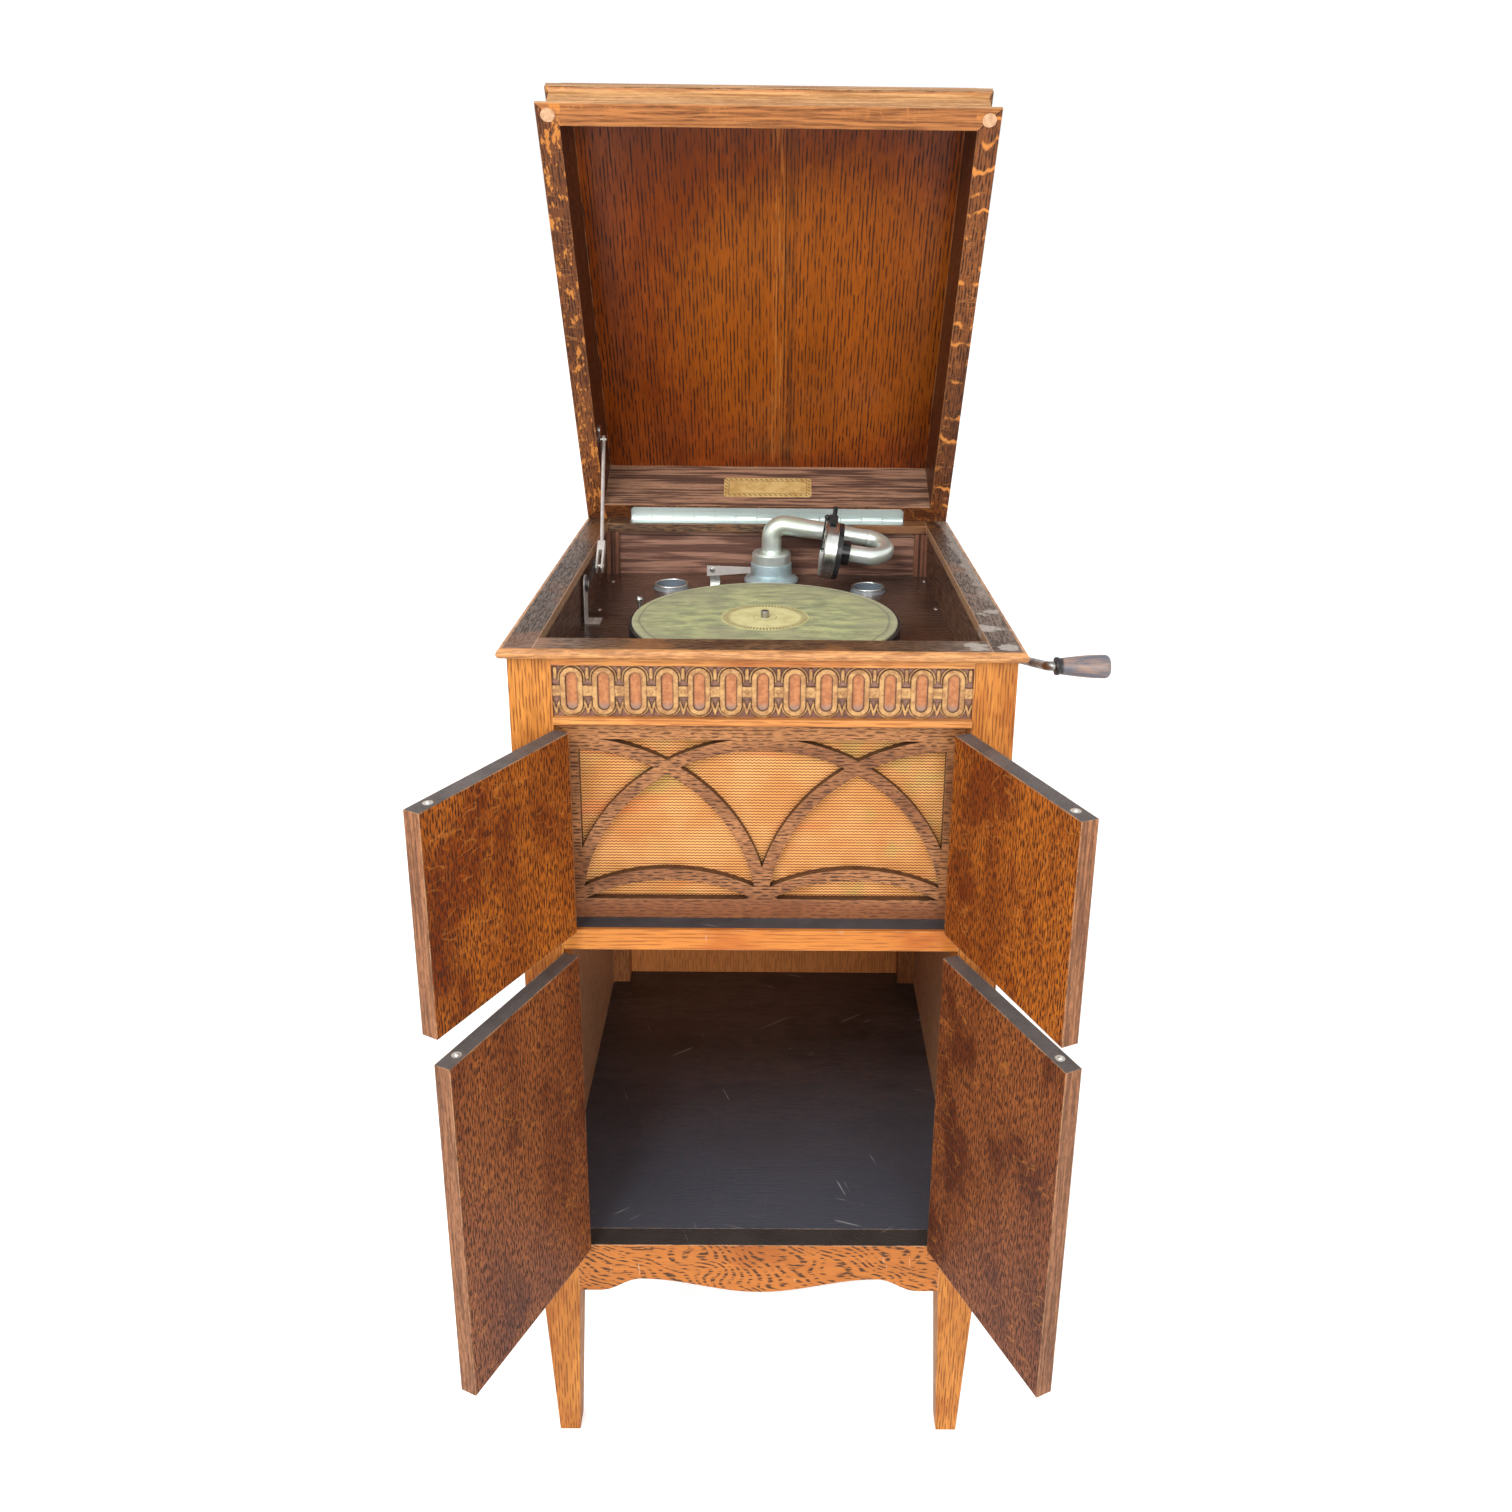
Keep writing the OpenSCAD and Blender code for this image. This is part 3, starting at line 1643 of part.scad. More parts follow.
// The fixed base: a flared flange and a collar, open for the sound
module tone_arm_base() {
  bore = elbow_r - elbow_wall;
  color("lightsteelblue")
    translate([arm_x, arm_y, board_top])
      rotate_extrude()
        polygon([[bore, 0], [flange_r - 1, 0], [flange_r, 1.5], [flange_r, 4], [flange_r - 2, 6.5],
          [collar_r + 0.6, 10], [collar_r, collar_z - board_top],
          [collar_r, swivel_z - board_top - 0.2], [bore, swivel_z - board_top - 0.2]]);
}

// The turning collar, the bend and the tapered run, hollow throughout
module tone_arm_tube() {
  color("darkseagreen")
    difference() {
      union() {
        arm_solid(0);
        translate([arm_x, arm_y, swivel_z])
          rotate_extrude()
            polygon([[0, 0], [collar_r - 1.4, 0], [collar_r - 1.4, 12.5], [collar_r - 3.4, 15],
              [arm_r + 3, swivel_top - swivel_z], [0, swivel_top - swivel_z]]);
        translate([arm_x, arm_y, swivel_z - 9])
          cylinder(h = 10, r = elbow_r - elbow_wall - run_gap);
      }
      arm_solid(arm_wall);
    }
}

// The arm's tube, its radii lessened by a wall
module arm_solid(wall) {
  more = wall > 0 ? 2 : 0;
  low = wall > 0 ? 11 : 0;
  leg_r = arm_r - wall + lap_step;
  translate([arm_x, arm_y, swivel_z - low])
    cylinder(h = bend_z - swivel_z + low + lap, r = leg_r);
  translate([arm_x + arm_bend, arm_y, bend_z])
    rotate([90, 0, 0])
      rotate([0, 0, 90 - arm_slope])
        rotate_extrude(angle = 90 + arm_slope)
          translate([arm_bend, 0])
            circle(r = arm_r - wall);
  along_run()
    rotate_extrude()
      polygon([[0, -lap], [leg_r, -lap], [arm_end_r - wall, run_len - socket_len],
        [arm_end_r - wall, run_len + more], [0, run_len + more]]);
}

// Places a drawing made along +Z at the start of the run
module along_run() {
  translate([run_start_x, arm_y, run_start_z])
    rotate([0, 90 + arm_slope, 0])
      children();
}

// Places a drawing made along +Z at the arm's end, with the crook's side towards +X
module at_crook() {
  along_run()
    translate([0, 0, run_len])
      rotate([0, 0, -90 + crook_dip])
        children();
}

// The U-shaped crook, its spigot in the arm's end
module tone_arm_crook() {
  inner = arm_end_r - arm_wall - run_gap;
  color("darkkhaki")
    at_crook()
      difference() {
        union() {
          translate([0, 0, -6])
            cylinder(h = 6.4, r = inner);
          crook_tube(crook_r, 0);
        }
        translate([0, 0, -7])
          cylinder(h = 7 + air + lap, r = inner - arm_wall + lap_step);
        crook_tube(inner - arm_wall, 1);
      }
}

// The crook's bend and leg with a given radius
module crook_tube(r, more) {
  translate([crook_bend, 0, air])
    rotate([90, 0, 0])
      rotate_extrude(angle = 180)
        translate([crook_bend, 0])
          circle(r = r);
  translate([2 * crook_bend, 0, air - leg_len - bush_len + 2 - more])
    cylinder(h = leg_len + bush_len - 2 + more + lap, r = r + lap_step);
}

// Places a drawing at the soundbox's back, its axis along the crook's leg
module at_soundbox() {
  at_crook()
    translate([2 * crook_bend, 0, air - leg_len])
      mirror([0, 0, 1])
        children();
}

// The black back plate and the bush that grips the crook
module soundbox_back() {
  color("black")
    at_soundbox()
      difference() {
        union() {
          cylinder(h = bush_len, r = bush_r);
          translate([0, 0, bush_len - eps])
            cylinder(h = back_plate_t, r = soundbox_r - 0.5);
        }
        translate([0, 0, -1])
          cylinder(h = bush_len - 1, r = crook_r + lap_step);
        translate([0, 0, bush_len - 3])
          cylinder(h = back_plate_t + 5, r = crook_r - 3);
      }
}

// The bright ring with the diaphragm across it
module soundbox_ring() {
  color("silver")
    at_soundbox()
      translate([0, 0, bush_len + back_plate_t])
        rotate_extrude() {
          polygon([[soundbox_r - 6, 0], [soundbox_r - 1, 0], [soundbox_r, 1], [soundbox_r, ring_t - 2],
            [soundbox_r - 2, ring_t], [soundbox_r - 6, ring_t]]);
          translate([0, 4])
            square([soundbox_r - 5, 0.6]);
        }
}

// The needle bar: its stem, block, chuck and screw
module needle_bar() {
  block_r = soundbox_r + 0.2;
  mid = bush_len + back_plate_t + ring_t / 2;
  color("black")
    at_soundbox()
      rotate([0, 0, -90 - crook_dip]) {
        difference() {
          box([block_r - 1.4, -6, mid - 5], [block_r + 8, 6, mid + 6]);
          translate([0, 0, mid - 9])
            cylinder(h = 18, r = soundbox_r + 0.05);
        }
        translate([block_r + 7, 0, mid])
          rotate([0, 90, 0])
            cylinder(h = 13, r = 3);
        translate([block_r + 4, 5, mid])
          rotate([-90, 0, 0])
            cylinder(h = 8, r = 4.6);
        translate([block_r + 4, -4, mid + 8.5])
          sphere(r = 3.6, $fn = 32);
        box([0, -1.2, mid + ring_t / 2 + 0.6], [block_r + 2, 1.2, mid + ring_t / 2 + 2.6]);
        box([block_r, -1.2, mid + 5], [block_r + 2, 1.2, mid + ring_t / 2 + 2.6]);
        translate([0, 0, mid - ring_t / 2 + 4.6])
          cylinder(h = ring_t - 2, r = 1.4);
      }
}

// ---- horn

// Share of the way from the throat (0) to the mouth (1) at a step
function horn_y(t) = horn_back_y + (horn_front_y - horn_back_y) * t;
function horn_half(t) = horn_throat + (mouth_half - horn_throat) * pow(t, 1.7);
function horn_top(t) = throat_z + horn_throat + (mouth_high - throat_z - horn_throat) * pow(t, 9);
function horn_low(t) = throat_z - horn_throat + (mouth_low - throat_z + horn_throat) * pow(t, 1.3);

// Plan of the horn, grown by a wall and lengthened at both ends
module horn_plan(wall, more) {
  right = [for (i = [0 : horn_steps]) [horn_half(i / horn_steps) + wall, horn_y(i / horn_steps)]];
  ends = [[right[horn_steps].x, horn_front_y - more], [-right[horn_steps].x, horn_front_y - more]];
  left = [for (i = [horn_steps : -1 : 0]) [-right[i].x, right[i].y]];
  polygon(concat([[right[0].x, horn_back_y + wall]], right, ends, left, [[-right[0].x, horn_back_y + wall]]));
}

// Side view of the horn, grown by a wall and lengthened at the mouth
module horn_side(wall, more) {
  top = [for (i = [0 : horn_steps]) [horn_y(i / horn_steps), horn_top(i / horn_steps) + wall]];
  low = [for (i = [horn_steps : -1 : 0]) [horn_y(i / horn_steps), horn_low(i / horn_steps) - wall]];
  ends = [[horn_front_y - more, top[horn_steps].y], [horn_front_y - more, low[0].y]];
  back = horn_back_y + wall;
  polygon(concat([[back, top[0].y]], top, ends, low, [[back, low[horn_steps].y]]));
}

// The solid inside one plan and one side view
module horn_solid(wall, more) {
  intersection() {
    translate([0, 0, shelf_top])
      linear_extrude(board_z - shelf_top)
        horn_plan(wall, more);
    sideways(-case_w / 2, case_w)
      horn_side(wall, more);
  }
}

module horn_body() {
  color("burlywood")
    difference() {
      horn_solid(horn_wall, 0);
      horn_solid(0, 2);
      translate([arm_x, horn_back_y + horn_wall + 1, throat_z])
        rotate([90, 0, 0])
          cylinder(h = horn_wall + 2, r = elbow_r - elbow_wall);
    }
}

module horn_elbow() {
  bend_top = throat_z + elbow_bend;
  color("gray")
    difference() {
      union() {
        elbow_solid(elbow_r, bend_top, 0);
        translate([arm_x, arm_y, board_z - 4])
          cylinder(h = 4, r = elbow_r + 10);
      }
      elbow_solid(elbow_r - elbow_wall, bend_top, 1);
    }
}

// The elbow with a given radius, from the arm to the horn
module elbow_solid(r, bend_top, more) {
  translate([arm_x, arm_y, bend_top])
    cylinder(h = board_top - bend_top + more, r = r);
  translate([arm_x, arm_y - elbow_bend, bend_top])
    rotate([0, 90, 0])
      rotate_extrude(angle = 90)
        translate([elbow_bend, 0])
          circle(r = r);
  translate([arm_x, arm_y - elbow_bend, throat_z])
    rotate([90, 0, 0])
      cylinder(h = arm_y - elbow_bend - horn_back_y - horn_wall + more, r = r);
}

// ---- the nodes

post_front_left();
post_front_right();
post_back_left();
post_back_right();
side_panel_left();
side_panel_right();
back_panel();
rim_frame();
frieze_rail();
frieze_beads();
mid_shelf();
floor_board();
front_apron();
bottom_rails();
grille_fret();
grille_cloth();
motor_board();
well_liners();
board_fittings();
horn_body();
horn_elbow();
case_door_fittings();
door_upper_left();
door_upper_right();
door_lower_left();
door_lower_right();
fittings_upper_left();
fittings_upper_right();
fittings_lower_left();
fittings_lower_right();
lid_frame();
lid_top();
lid_buffers();
lid_plaque();
piano_leaf_case();
piano_leaf_lid();
stay_lid_plate();
stay_rod();
stay_lever();
stay_bracket();
motor_frame();
spring_barrel();
intermediate_arbor();
turntable_spindle();
governor();
turntable_platter();
turntable_felt();
turntable_label();
start_lever();
trip_strip();
needle_cups();
tone_arm_base();
tone_arm_tube();
tone_arm_crook();
soundbox_ring();
soundbox_back();
needle_bar();
crank_rod();
crank_grip();
crank_escutcheon();
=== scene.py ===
import json
from math import pi, radians, tau

import bmesh
import bpy
from mathutils import Matrix, Vector


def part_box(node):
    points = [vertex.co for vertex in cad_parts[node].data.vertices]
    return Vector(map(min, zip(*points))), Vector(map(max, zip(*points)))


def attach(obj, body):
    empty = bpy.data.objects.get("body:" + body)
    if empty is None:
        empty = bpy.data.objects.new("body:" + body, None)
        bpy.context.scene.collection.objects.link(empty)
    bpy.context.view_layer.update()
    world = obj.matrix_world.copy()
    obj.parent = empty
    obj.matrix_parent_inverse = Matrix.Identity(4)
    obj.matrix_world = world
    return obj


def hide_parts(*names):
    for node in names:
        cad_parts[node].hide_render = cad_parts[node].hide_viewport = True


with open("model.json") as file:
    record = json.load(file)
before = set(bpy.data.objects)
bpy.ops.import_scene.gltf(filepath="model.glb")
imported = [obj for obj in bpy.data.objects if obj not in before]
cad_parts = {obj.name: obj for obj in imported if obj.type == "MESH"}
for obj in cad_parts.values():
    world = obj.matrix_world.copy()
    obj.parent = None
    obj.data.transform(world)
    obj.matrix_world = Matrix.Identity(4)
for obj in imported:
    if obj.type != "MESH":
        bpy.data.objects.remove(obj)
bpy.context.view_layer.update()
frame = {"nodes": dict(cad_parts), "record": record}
nodes = frame["nodes"]

# ---- camera and light

# The camera as solved from the straight edges in the photograph; the tilt is in degrees
LENS_MM, LENS_SHIFT = 29.3895, (-0.018526, -0.089193)
CAMERA_PLACE, CAMERA_TILT = (0.009236, -1.36914, 1.318962), (72.9891, -0.6271, -0.3298)

lens = bpy.data.cameras.new("camera")
lens.sensor_fit = "HORIZONTAL"
lens.lens = LENS_MM
lens.shift_x, lens.shift_y = LENS_SHIFT
camera = bpy.data.objects.new("camera", lens)
camera.location = CAMERA_PLACE
camera.rotation_euler = [radians(angle) for angle in CAMERA_TILT]
bpy.context.scene.collection.objects.link(camera)
bpy.context.scene.camera = camera
bpy.context.scene.view_settings.view_transform = "Standard"


def soft_light(name, size, power, place, target):
    """A square soft box, with its side in metres and its power in watts, aimed at a point."""
    box = bpy.data.lights.new(name, "AREA")
    box.shape, box.size, box.energy = "SQUARE", size, power
    lamp = bpy.data.objects.new(name, box)
    lamp.location = place
    aim = Vector(target) - Vector(place)
    lamp.rotation_euler = aim.to_track_quat("-Z", "Y").to_euler()
    bpy.context.scene.collection.objects.link(lamp)


soft_light("key_light", size=1.6, power=72, place=(-1.3, -2.6, 2.9), target=(0, 0, 0.7))
soft_light("front_light", size=2.2, power=44, place=(0.9, -3.2, 1.5), target=(0, 0, 0.6))

# A white room: the lens sees it pure white, and it lights the object a little less
ROOM_LIGHT, ROOM_SEEN = 0.86, 1.02
room = bpy.data.worlds.new("room")
room.use_nodes = True
ray = room.node_tree.nodes.new("ShaderNodeLightPath")
glow = room.node_tree.nodes.new("ShaderNodeMapRange")
glow.inputs["To Min"].default_value = ROOM_LIGHT
glow.inputs["To Max"].default_value = ROOM_SEEN
room.node_tree.links.new(ray.outputs["Is Camera Ray"], glow.inputs["Value"])
background = room.node_tree.nodes["Background"]
background.inputs["Color"].default_value = (1, 1, 1, 1)
room.node_tree.links.new(glow.outputs["Result"], background.inputs["Strength"])
bpy.context.scene.world = room

# ---- node helpers


class Tree:
    """Places shader nodes in one tree and hands back their sockets."""

    def __init__(self, tree):
        self.tree = tree

    def plain(self, kind):
        return self.tree.nodes.new(kind)

    def add(self, kind, inputs=(), **settings):
        """A shader node with its settings and its inputs."""
        made = self.plain("ShaderNode" + kind)
        for name, value in settings.items():
            setattr(made, name, value)
        for name, value in dict(inputs).items():
            self.feed(made.inputs[name], value)
        return made

    def feed(self, socket, value):
        """Links a socket to another, or sets its value."""
        if isinstance(value, bpy.types.NodeSocket):
            self.tree.links.new(value, socket)
        elif value is not None:
            if socket.type == "RGBA" and len(value) == 3:
                value = (*value, 1)
            socket.default_value = value

    def math(self, does, a, b=None, c=None, clamp=False):
        inputs = {0: a, 1: b, 2: c}
        return self.add("Math", inputs, operation=does, use_clamp=clamp).outputs[0]

    def times(self, first, *others, clamp=False):
        """The product of two or more values."""
        *middle, last = others
        for value in middle:
            first = self.math("MULTIPLY", first, value)
        return self.math("MULTIPLY", first, last, clamp=clamp)

    def plus(self, a, b):
        return self.math("ADD", a, b)

    def minus(self, a, b):
        return self.math("SUBTRACT", a, b)

    def over(self, a, b):
        return self.math("DIVIDE", a, b)

    def absolute(self, a):
        return self.math("ABSOLUTE", a)

    def larger(self, a, b):
        return self.math("MAXIMUM", a, b)

    def below(self, a, b):
        """1 where a is below b."""
        return self.math("LESS_THAN", a, b)

    def above(self, a, b):
        """1 where a is above b."""
        return self.math("GREATER_THAN", a, b)

    def vector(self, does, a, b=None):
        made = self.add("VectorMath", {0: a, 1: b}, operation=does)
        return made.outputs["Value" if does in ("DOT_PRODUCT", "LENGTH") else "Vector"]

    def stretch(self, vector, by):
        return self.vector("MULTIPLY", vector, by)

    def offset(self, vector, place):
        """The way from a place to where vector is."""
        return self.vector("SUBTRACT", vector, place)

    def mix(self, share, a, b, blend="MIX"):
        """A colour that turns from a to b as its share grows."""
        inputs = {0: share, 6: a, 7: b}
        return self.add("Mix", inputs, data_type="RGBA", blend_type=blend).outputs[2]

    def smooth(self, value, low, high, start=0.0, end=1.0):
        """Eases from start, where value is low, to end, where it is high."""
        inputs = {0: value, 1: low, 2: high, 3: start, 4: end}
        return self.add("MapRange", inputs, interpolation_type="SMOOTHSTEP").outputs[0]

    def noise(self, vector, stretch=None, scale=1.0, detail=2.0, rough=0.5):
        """Clouds, drawn finer along each axis by its stretch."""
        if stretch:
            vector = self.stretch(vector, stretch)
        inputs = {"Vector": vector, "Scale": scale, "Detail": detail, "Roughness": rough}
        return self.add("TexNoise", inputs).outputs[0]

    def split(self, vector):
        return self.add("SeparateXYZ", {0: vector}).outputs

    def join(self, x, y, z):
        return self.add("CombineXYZ", {0: x, 1: y, 2: z}).outputs[0]

    def band(self, value, low, high, blur=0.0004):
        """1 between two values and 0 outside them."""
        rise = self.smooth(value, low - blur, low + blur)
        fall = self.smooth(value, high - blur, high + blur, 1, 0)
        return self.math("MULTIPLY", rise, fall)


SOCKETS = {float: "NodeSocketFloat", tuple: "NodeSocketColor", Vector: "NodeSocketVector"}


def effect(name, inputs, outputs):
    """An empty node group with named inputs and outputs, with its tree and its sockets."""
    group = bpy.data.node_groups.new(name, "ShaderNodeTree")
    for way, sockets in (("INPUT", inputs), ("OUTPUT", outputs)):
        for label, value in sockets.items():
            made = group.interface.new_socket(label, in_out=way, socket_type=SOCKETS[type(value)])
            if way == "INPUT" and type(value) is not Vector:
                made.default_value = (*value, 1) if type(value) is tuple else value
    t = Tree(group)
    return group, t, t.plain("NodeGroupInput").outputs, t.plain("NodeGroupOutput").inputs


# ---- shared effects

ORANGE = (0.5, 0.22, 0.06)

# Oak with its grain along X: pores gathered on the rings, fibre, clouds of tone, ray flecks.
# The rings cross both other axes, so that they show on every long face.
RING_TILT = 0.83
oak_grain, t, given, out = effect(
    "oak_grain",
    {
        "Vector": Vector(), "Light": ORANGE, "Deep": ORANGE, "Pore": ORANGE, "Fleck": ORANGE,
        "Pitch": 0.004, "Wander": 2.0, "Wild": 0.0, "Dash": 0.012, "Fine": 560.0, "Pores": 0.9,
        "Gather": 0.6, "Slant": 0.0, "Clouds": 0.5, "Flecks": 0.0, "Fleck size": 1.0,
    },
    {"Color": ORANGE, "Pores": 0.0},
)
at = given["Vector"]
x, y, z = t.split(at)
slow = t.noise(at, (2.5, 11, 11))
wild = t.noise(at, (11, 26, 26), detail=1.5)
wander = t.times(t.minus(slow, 0.5), given["Wander"])
stray = t.times(t.minus(wild, 0.5), given["Wild"])
across = t.math("MULTIPLY_ADD", x, given["Slant"], t.math("MULTIPLY_ADD", z, RING_TILT, y))
phase = t.plus(t.plus(t.over(across, given["Pitch"]), wander), stray)
ring = t.math("MULTIPLY_ADD", t.math("COSINE", t.times(phase, tau)), 0.5, 0.5)
along = t.over(x, given["Dash"])
fine_y, fine_z = t.times(y, given["Fine"]), t.times(z, given["Fine"])
dash = t.smooth(t.noise(t.join(along, fine_y, fine_z), detail=1.0), 0.45, 0.56)
gathered = t.minus(1, t.times(given["Gather"], t.smooth(ring, 0.35, 0.85, 1, 0)))
open_pores = t.times(dash, gathered, given["Pores"], clamp=True)
tone = t.smooth(t.noise(at, (3, 17, 17), detail=4, rough=0.6), 0.32, 0.68)
fibre = t.noise(at, (16, 420, 420), detail=3)
cloud = t.smooth(t.noise(at, (8, 14, 14), detail=3, rough=0.6), 0.5, 0.66)
wood = t.mix(tone, given["Light"], given["Deep"])
wood = t.mix(t.smooth(fibre, 0.3, 0.7, 0.0, 0.5), wood, given["Deep"])
wood = t.mix(t.times(cloud, given["Clouds"]), wood, given["Deep"], "MULTIPLY")
wood = t.mix(t.times(ring, 0.18), wood, given["Deep"])
wood = t.mix(open_pores, wood, given["Pore"])
fleck_at = t.stretch(t.stretch(at, (75, 34, 34)), t.join(*[given["Fleck size"]] * 3))
lines = t.absolute(t.minus(t.noise(fleck_at, detail=1.5), 0.5))
where = t.smooth(t.noise(at, (16, 40, 40), detail=1), 0.46, 0.6)
flecks = t.times(t.smooth(lines, 0.004, 0.022, 1, 0), where)
flecks = t.times(flecks, given["Flecks"], clamp=True)
t.feed(out["Color"], t.mix(flecks, wood, given["Fleck"]))
t.feed(out["Pores"], open_pores)

# Rubbed edges and corners, and the normal that rounds them
worn_edges, t, given, out = effect(
    "worn_edges",
    {"Vector": Vector(), "Radius": 0.0014, "Amount": 1.0, "Ragged": 1.0},
    {"Mask": 0.0, "Normal": Vector()},
)
soft = t.add("Bevel", {"Radius": given["Radius"]}, samples=4).outputs[0]
face = t.add("NewGeometry").outputs["Normal"]
turn = t.minus(1, t.vector("DOT_PRODUCT", soft, face))
rub = t.smooth(t.noise(given["Vector"], scale=38, detail=4, rough=0.65), 0.36, 0.62, 0.1, 1)
kept = t.minus(1, t.times(given["Ragged"], t.minus(1, rub)))
mask = t.times(t.smooth(turn, 0.015, 0.16), kept)
t.feed(out["Mask"], t.times(mask, given["Amount"], clamp=True))
t.feed(out["Normal"], soft)

# Coordinates that run along each rail of a mitred frame that lies flat, and its joint lines
mitred_rails, t, given, out = effect(
    "mitred_rails",
    {"Vector": Vector(), "Half width": 0.25, "Half depth": 0.28, "Skew": 1.0, "Rail": 0.03},
    {"Vector": Vector(), "Joint": 0.0},
)
x, y, z = t.split(given["Vector"])
in_x = t.times(t.minus(given["Half width"], t.absolute(x)), given["Skew"])
in_y = t.minus(given["Half depth"], t.absolute(y))
side = t.below(in_x, in_y)
lengthways = t.add("Mix", {0: side, 4: given["Vector"], 5: t.join(y, x, z)}, data_type="VECTOR")
t.feed(out["Vector"], lengthways.outputs[1])
near = t.absolute(t.minus(in_x, in_y))
corner = t.below(in_x, given["Rail"])
t.feed(out["Joint"], t.times(t.smooth(near, 0.0003, 0.0013, 1, 0), corner))

# Short fine scratches in three directions
scratches, t, given, out = effect("scratches", {"Vector": Vector(), "Amount": 1.0}, {"Mask": 0.0})
total = None
for spin, shift in ((0.3, 0), (1.2, 7.3), (-0.6, 3.1)):
    inputs = {0: given["Vector"], "Rotation": (0, 0, spin), "Location": (shift, 0, 0)}
    spun = t.add("Mapping", inputs).outputs[0]
    line = t.noise(spun, (9, 420, 30), detail=0)
    patch = t.smooth(t.noise(spun, scale=17), 0.6, 0.68)
    mark = t.times(t.smooth(line, 0.76, 0.82), patch)
    total = mark if total is None else t.larger(total, mark)
t.feed(out["Mask"], t.times(total, given["Amount"], clamp=True))

# A blot with a ragged edge round a place
blot, t, given, out = effect(
    "blot", {"Vector": Vector(), "Place": Vector(), "Reach": 0.03, "Ragged": 0.02}, {"Mask": 0.0}
)
ragged = t.noise(given["Vector"], scale=45, detail=5, rough=0.65)
ragged = t.times(t.minus(ragged, 0.5), t.times(given["Ragged"], 4))
away = t.vector("LENGTH", t.offset(given["Vector"], given["Place"]))
away = t.over(t.plus(away, ragged), given["Reach"])
t.feed(out["Mask"], t.smooth(away, 0.7, 1.1, 1, 0))


def placed(t, group, inputs):
    """A group node with its inputs set."""
    made = t.plain("ShaderNodeGroup")
    made.node_tree = group
    for name, value in inputs.items():
        t.feed(made.inputs[name], value)
    return made.outputs


# ---- materials

# How squarely a face looks along an axis to count as facing that way, or the other way
ALONG, AGAINST = (0.5, 0.8), (-0.5, -0.8)


def finish(name):
    """A new material with its tree and its shader."""
    made = bpy.data.materials.new(name)
    made.use_nodes = True
    t = Tree(made.node_tree)
    return made, t, made.node_tree.nodes["Principled BSDF"]


def shade(t, shader, **sockets):
    """Sets the shader's sockets, named with _ for a space."""
    for name, value in sockets.items():
        t.feed(shader.inputs[name.replace("_", " ")], value)


def bumped(t, height, normal=None, depth=0.0004, strength=0.6):
    """The normal of a surface raised by a height."""
    inputs = {"Height": height, "Distance": depth, "Strength": strength, "Normal": normal}
    return t.add("Bump", inputs).outputs[0]


def resting(t, turn=(0, 0, 0), pivot=(0, 0, 0)):
    """Coordinates of a piece turned back about its hinge, so that its boards lie square."""
    to_rest = Matrix.Rotation(turn[2], 3, "Z") @ Matrix.Rotation(turn[0], 3, "X")
    shift = Vector(pivot) - to_rest @ Vector(pivot)
    place = t.add("TexCoord").outputs["Object"]
    return t.add("Mapping", {0: place, "Location": shift, "Rotation": turn}).outputs[0]


def resting_normal(t, turn=(0, 0, 0)):
    """The way that each face looks once its piece is turned back."""
    normal = t.add("TexCoord").outputs["Normal"]
    return t.add("Mapping", {0: normal, "Rotation": turn}, vector_type="NORMAL").outputs[0]


def inward(t, x, nx):
    """1 on the walls left and right that look towards the middle."""
    return t.below(t.times(x, nx), -0.05)


def grained(t, at, grain):
    """Coordinates whose X runs along the grain."""
    x, y, z = t.split(at)
    return {"x": at, "y": t.join(y, x, z), "z": t.join(z, x, y)}[grain]


def straight(grain):
    """Boards whose grain runs along one axis."""
    return lambda t, at, facing: (grained(t, at, grain), None)


def mitred(half_width, half_depth, rail, skew=1.0, centre=0.0):
    """Rails that meet in mitres."""
    def coordinates(t, at, facing):
        inputs = {"Half width": half_width, "Half depth": half_depth, "Rail": rail, "Skew": skew}
        inputs["Vector"] = t.offset(at, (0, centre, 0))
        rails = placed(t, mitred_rails, inputs)
        return rails["Vector"], rails["Joint"]
    return coordinates


def level_above(height):
    """Upright grain below a height and level grain above it."""
    def coordinates(t, at, facing):
        above = t.above(t.split(at)[2], height)
        inputs = {0: above, 4: grained(t, at, "z"), 5: at}
        return t.add("Mix", inputs, data_type="VECTOR").outputs[1], None
    return coordinates


WORN = (0.72, 0.4, 0.2)


def oak(name, grain, light, deep, pore, turn=(0, 0, 0), pivot=(0, 0, 0), shift=(0, 0, 0),
        end=0.45, wear=0.6, rough=0.4, coat=0.08, shine=0.22, extra=None, worn=WORN,
        depth=0.0003, soften=0.0013, **looks):
    """An oak finish, whose looks are inputs of the oak grain.

    extra(t, at, facing, colour, pores) may paint over its colour.
    """
    made, t, shader = finish(name)
    at, facing = resting(t, turn, pivot), resting_normal(t, turn)
    run, joint = (straight(grain) if isinstance(grain, str) else grain)(t, at, facing)
    looks.update(Vector=t.vector("ADD", run, shift), Light=light, Deep=deep, Pore=pore)
    wood = placed(t, oak_grain, looks)
    colour = wood["Color"]
    if joint:
        colour = t.mix(t.times(joint, 0.7), colour, pore)
    elif end and isinstance(grain, str):
        across = dict(zip("xyz", t.split(facing)))[grain]
        ends = t.smooth(t.absolute(across), 0.75, 0.95, 0, end)
        colour = t.mix(ends, colour, pore)
    if extra:
        colour = extra(t, at, facing, colour, wood["Pores"])
    edges = placed(t, worn_edges, {"Vector": at, "Radius": soften, "Amount": wear})
    colour = t.mix(edges["Mask"], colour, worn)
    sunk = bumped(t, t.times(wood["Pores"], -1), edges["Normal"], depth)
    gloss = t.math("MULTIPLY_ADD", wood["Pores"], 0.25, rough)
    shade(t, shader, Base_Color=colour, Roughness=gloss, Normal=sunk)
    shade(t, shader, Coat_Weight=coat, Coat_Roughness=0.22, Specular_IOR_Level=shine)
    return made


